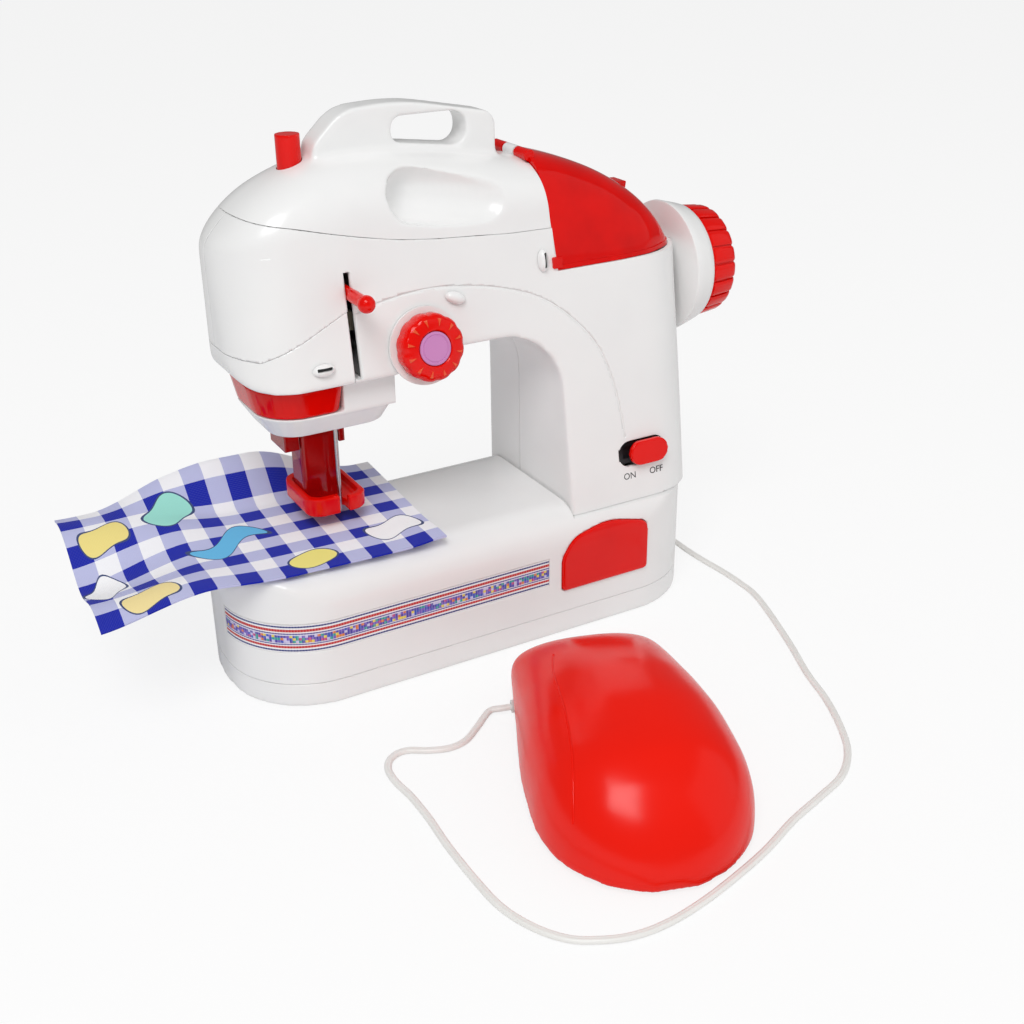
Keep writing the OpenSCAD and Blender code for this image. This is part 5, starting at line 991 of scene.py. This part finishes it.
# Practice cloth.
# A plain rectangle of blue cotton gingham, laid under the foot: flat beside the needle, waving towards
# its free end over the edge of the bed.
CLOTH_L, CLOTH_W, CLOTH_T, CLOTH_TURN, CLOTH_AT = 130.0, 82.0, 0.7, math.radians(-3), (-21.5, -35.0, 54.3)
OVERHANG, DROOP_SHARE, WAVE, LOBES, CORNER_LIFT, BACK_LIFT, GAP = 44.2, 0.18, 3.0, 1.6, 9.0, 15.0, 0.15
STRIPE, THREAD = 8.3, 0.55
# Each patch: middle along and across in mm, half sizes in mm, lean in degrees, waist, colour
PATCHES = [(56, 36, 17, 6, 8, 0.95, "66BDEB"), (40, 64, 11, 8, 20, 0.25, "9FE3D6"),
           (14, 58, 10, 7, -15, 0.3, "F2E08A"), (80, 9, 10, 6.5, 5, 0.1, "F4E884"),
           (20, 9, 11, 7, -10, 0.3, "F6E2A0"), (8, 31, 8, 10, 10, 0.35, "FBFBFD"),
           (116, 19, 12, 7.5, -8, 0.4, "FBFBFD")]


def smooth(t):
    """A step from nought to one without a corner."""
    c = np.clip(t, 0, 1)
    return c * c * (3 - 2 * c)


def cloth_z(u, v):
    """Height of the cloth's underside over the floor, at shares of its length and width."""
    left, back, right = smooth((0.55 - u) / 0.55), smooth((v - 0.74) / 0.26), smooth((u - 0.86) / 0.14)
    hump = smooth((u - 0.1) / 0.4) * (1 - smooth((u - 0.6) / 0.35))
    droop = smooth(1 - u * CLOTH_L / OVERHANG) * OVERHANG * DROOP_SHARE
    wave = left * WAVE * (1 + np.sin(2 * math.pi * (LOBES * v + 200 / 360 * u)))
    lift = smooth((0.5 - u) / 0.5) * smooth((v - 0.45) / 0.55) * CORNER_LIFT
    curl = right * (1 - smooth((v - 0.05) / 0.25)) * WAVE / 2
    return CLOTH_AT[2] + wave - droop + lift + back * BACK_LIFT * hump + curl


nu, nv = 156, 98
u, v = np.meshgrid(np.linspace(0, 1, nu + 1), np.linspace(0, 1, nv + 1), indexing="ij")
flat_x, flat_y = CLOTH_L * (u - 1), CLOTH_W * v
c, s = math.cos(CLOTH_TURN), math.sin(CLOTH_TURN)
points = np.stack((CLOTH_AT[0] + c * flat_x - s * flat_y, CLOTH_AT[1] + s * flat_x + c * flat_y,
                   cloth_z(u, v) + GAP), axis=-1)
faces = [(i * (nv + 1) + j, (i + 1) * (nv + 1) + j, (i + 1) * (nv + 1) + j + 1, i * (nv + 1) + j + 1)
         for i in range(nu) for j in range(nv)]
cloth = solid("cloth", points.reshape(-1, 3), faces)
laid = cloth.data.uv_layers.new(name="weave")
for loop in cloth.data.loops:
    k = loop.vertex_index
    laid.data[loop.index].uv = (u.flat[k] * CLOTH_L * MM, v.flat[k] * CLOTH_W * MM)
step = cloth.modifiers.new("thick", "SOLIDIFY")
step.thickness, step.offset = CLOTH_T * MM, 1.0
settled(cloth)
# Cotton gingham: dyed and white stripes 8.3 mm wide in both directions, so that they cross in three
# tones, printed over with plain round patches; the thread is drawn at 0.55 mm so that it shows
gingham, tree, shader = finish_of("cotton_gingham")
uv = add(tree, "ShaderNodeUVMap", uv_map="weave")
split = add(tree, "ShaderNodeSeparateXYZ", {0: uv})
dyed, threads = [], []
for axis, letter in enumerate("XY"):
    bands = add(tree, "ShaderNodeMath", {0: split.outputs[axis], 1: STRIPE * MM}, operation="DIVIDE")
    turns = add(tree, "ShaderNodeMath", {0: bands, 1: 2.0}, operation="FLOORED_MODULO")
    dyed.append(add(tree, "ShaderNodeMath", {0: turns, 1: 1.0}, operation="LESS_THAN"))
    threads.append(add(tree, "ShaderNodeTexWave", {"Vector": uv, "Scale": 2 * math.pi / (20 * THREAD * MM)},
                       bands_direction=letter).outputs["Fac"])
both = add(tree, "ShaderNodeMath", {0: dyed[0], 1: dyed[1]}, operation="MULTIPLY")
either = add(tree, "ShaderNodeMath", {0: dyed[0], 1: dyed[1]}, operation="MAXIMUM")
half = add(tree, "ShaderNodeMix", {0: either, 6: linear("F7F7FB"), 7: linear("BEC1E6")}, data_type="RGBA")
tone = add(tree, "ShaderNodeMix", {0: both, 6: half, 7: linear("1022A8")}, data_type="RGBA")
cross = add(tree, "ShaderNodeMath", {0: threads[0], 1: threads[1]}, operation="MULTIPLY")
for at_u, at_v, half_u, half_v, lean, waist, code in PATCHES:
    spot = add(tree, "ShaderNodeMapping", {
        "Vector": uv, "Location": (at_u * MM, at_v * MM, 0), "Rotation": (0, 0, math.radians(lean)),
        "Scale": (half_u * MM, half_v * MM, 1)}, vector_type="TEXTURE")
    flat = add(tree, "ShaderNodeSeparateXYZ", {0: spot})
    swing = add(tree, "ShaderNodeMath", {0: flat.outputs[0], 1: 3.4}, operation="MULTIPLY")
    swing = add(tree, "ShaderNodeMath", {0: swing}, operation="SINE")
    swing = add(tree, "ShaderNodeMath", {0: swing, 1: waist}, operation="MULTIPLY")
    lifted = add(tree, "ShaderNodeMath", {0: flat.outputs[1], 1: swing}, operation="SUBTRACT")
    bent = add(tree, "ShaderNodeCombineXYZ", {0: flat.outputs[0], 1: lifted})
    far = add(tree, "ShaderNodeVectorMath", {0: bent}, operation="LENGTH")
    for reach, colour in ((1.0, "3B4A78"), (0.92, code)):
        inside = add(tree, "ShaderNodeMath", {0: far, 1: reach}, operation="LESS_THAN")
        tone = add(tree, "ShaderNodeMix", {0: inside, 6: tone, 7: linear(colour)}, data_type="RGBA")
light = add(tree, "ShaderNodeMix", {0: 0.05, 6: tone, 7: linear("FFFFFF")}, data_type="RGBA")
woven = add(tree, "ShaderNodeMix", {0: cross, 6: tone, 7: light}, data_type="RGBA")
bump = add(tree, "ShaderNodeBump", {"Height": cross, "Strength": 0.35, "Distance": 0.12 * MM})
feed(tree, shader, {"Base Color": woven, "Normal": bump, "Roughness": 0.85, "Specular IOR Level": 0.2,
                    "Sheen Weight": 0.06})
fitted(cloth, "practice_cloth_gingham", gingham, "machine", "cotton_gingham", "practice_cloth", angle=60)

# Studio: floor, light and camera.
# A plain white floor that keeps the soft shadows, an even white surround and two large lamps.
FLOOR_HALF, FLOOR_SINK, FLOOR_GLOW = 3000, 0.2, 0.82
SKY, SKY_SEEN, SKY_GLOSS = 0.46, 1.0, -0.28
AIM = (0.0, -0.05, 0.08)

def watched(tree):
    """A light path's outputs, and whether the camera sees the ray, straight or through something clear."""
    seen = add(tree, "ShaderNodeLightPath").outputs
    return seen, add(tree, "ShaderNodeMath", {0: seen["Is Camera Ray"], 1: seen["Is Transmission Ray"]},
                     operation="MAXIMUM")


corners = [(x * FLOOR_HALF, y * FLOOR_HALF, -FLOOR_SINK) for x, y in ((-1, -1), (1, -1), (1, 1), (-1, 1))]
floor = solid("floor", corners, [(0, 1, 2, 3)])
# White paper that glows a little where the camera sees it
paper, tree, shader = finish_of("white_paper_floor")
place = add(tree, "ShaderNodeTexCoord").outputs["Object"]
grain = add(tree, "ShaderNodeTexNoise", {"Vector": place, "Scale": 1 / (25 * MM)})
tone = add(tree, "ShaderNodeMix", {0: grain, 6: linear("FAFAFA"), 7: linear("F7F7F7")}, data_type="RGBA")
feed(tree, shader, {"Base Color": tone, "Roughness": 0.9})
glow = add(tree, "ShaderNodeEmission", {"Color": linear("FFFFFF"), "Strength": 1.0})
rays = watched(tree)[1]
part = add(tree, "ShaderNodeMath", {0: rays, 1: FLOOR_GLOW}, operation="MULTIPLY")
mixed = add(tree, "ShaderNodeMixShader", {0: part, 1: shader, 2: glow})
feed(tree, next(n for n in tree.nodes if n.type == "OUTPUT_MATERIAL"), {"Surface": mixed})
floor.data.materials.append(paper)
floor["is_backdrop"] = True

world = bpy.data.worlds.new("white_surround")
world.use_nodes = True
bpy.context.scene.world = world
tree = world.node_tree
tree.nodes.clear()
seen, rays = watched(tree)
power = add(tree, "ShaderNodeMapRange", {0: rays, 3: SKY, 4: SKY_SEEN})
power = add(tree, "ShaderNodeMath", {0: seen["Is Glossy Ray"], 1: SKY_GLOSS, 2: power},
            operation="MULTIPLY_ADD")
sky = add(tree, "ShaderNodeBackground", {"Color": linear("FFFFFF"), "Strength": power})
add(tree, "ShaderNodeOutputWorld", {"Surface": sky})
for name, at, size, watts in (("key_softbox", (-0.55, -0.75, 1.25), 0.7, 11.0),
                              ("fill_softbox", (1.2, -1.0, 0.8), 1.6, 3.4)):
    light = bpy.data.lights.new(name, "AREA")
    light.shape, light.size, light.energy = "SQUARE", size, watts
    lamp = placed(name, light)
    lamp.location = at
    lamp.rotation_euler = (Vector(AIM) - Vector(at)).to_track_quat("-Z", "Y").to_euler()

lens_data = bpy.data.cameras.new("camera")
lens_data.lens, lens_data.sensor_width, lens_data.sensor_fit = 47.8125, 36.0, "HORIZONTAL"
camera = placed("camera", lens_data)
view, right, up = (0.4426, 0.7823, -0.4384), (0.8677, -0.4970, -0.0110), (0.2265, 0.3756, 0.8987)
stand = (-0.2258, -0.4465, 0.290)
camera.matrix_world = Matrix([(right[i], up[i], -view[i], stand[i]) for i in range(3)] + [(0, 0, 0, 1)])
bpy.context.scene.camera = camera
bpy.context.scene.view_settings.view_transform = "Standard"

low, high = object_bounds()
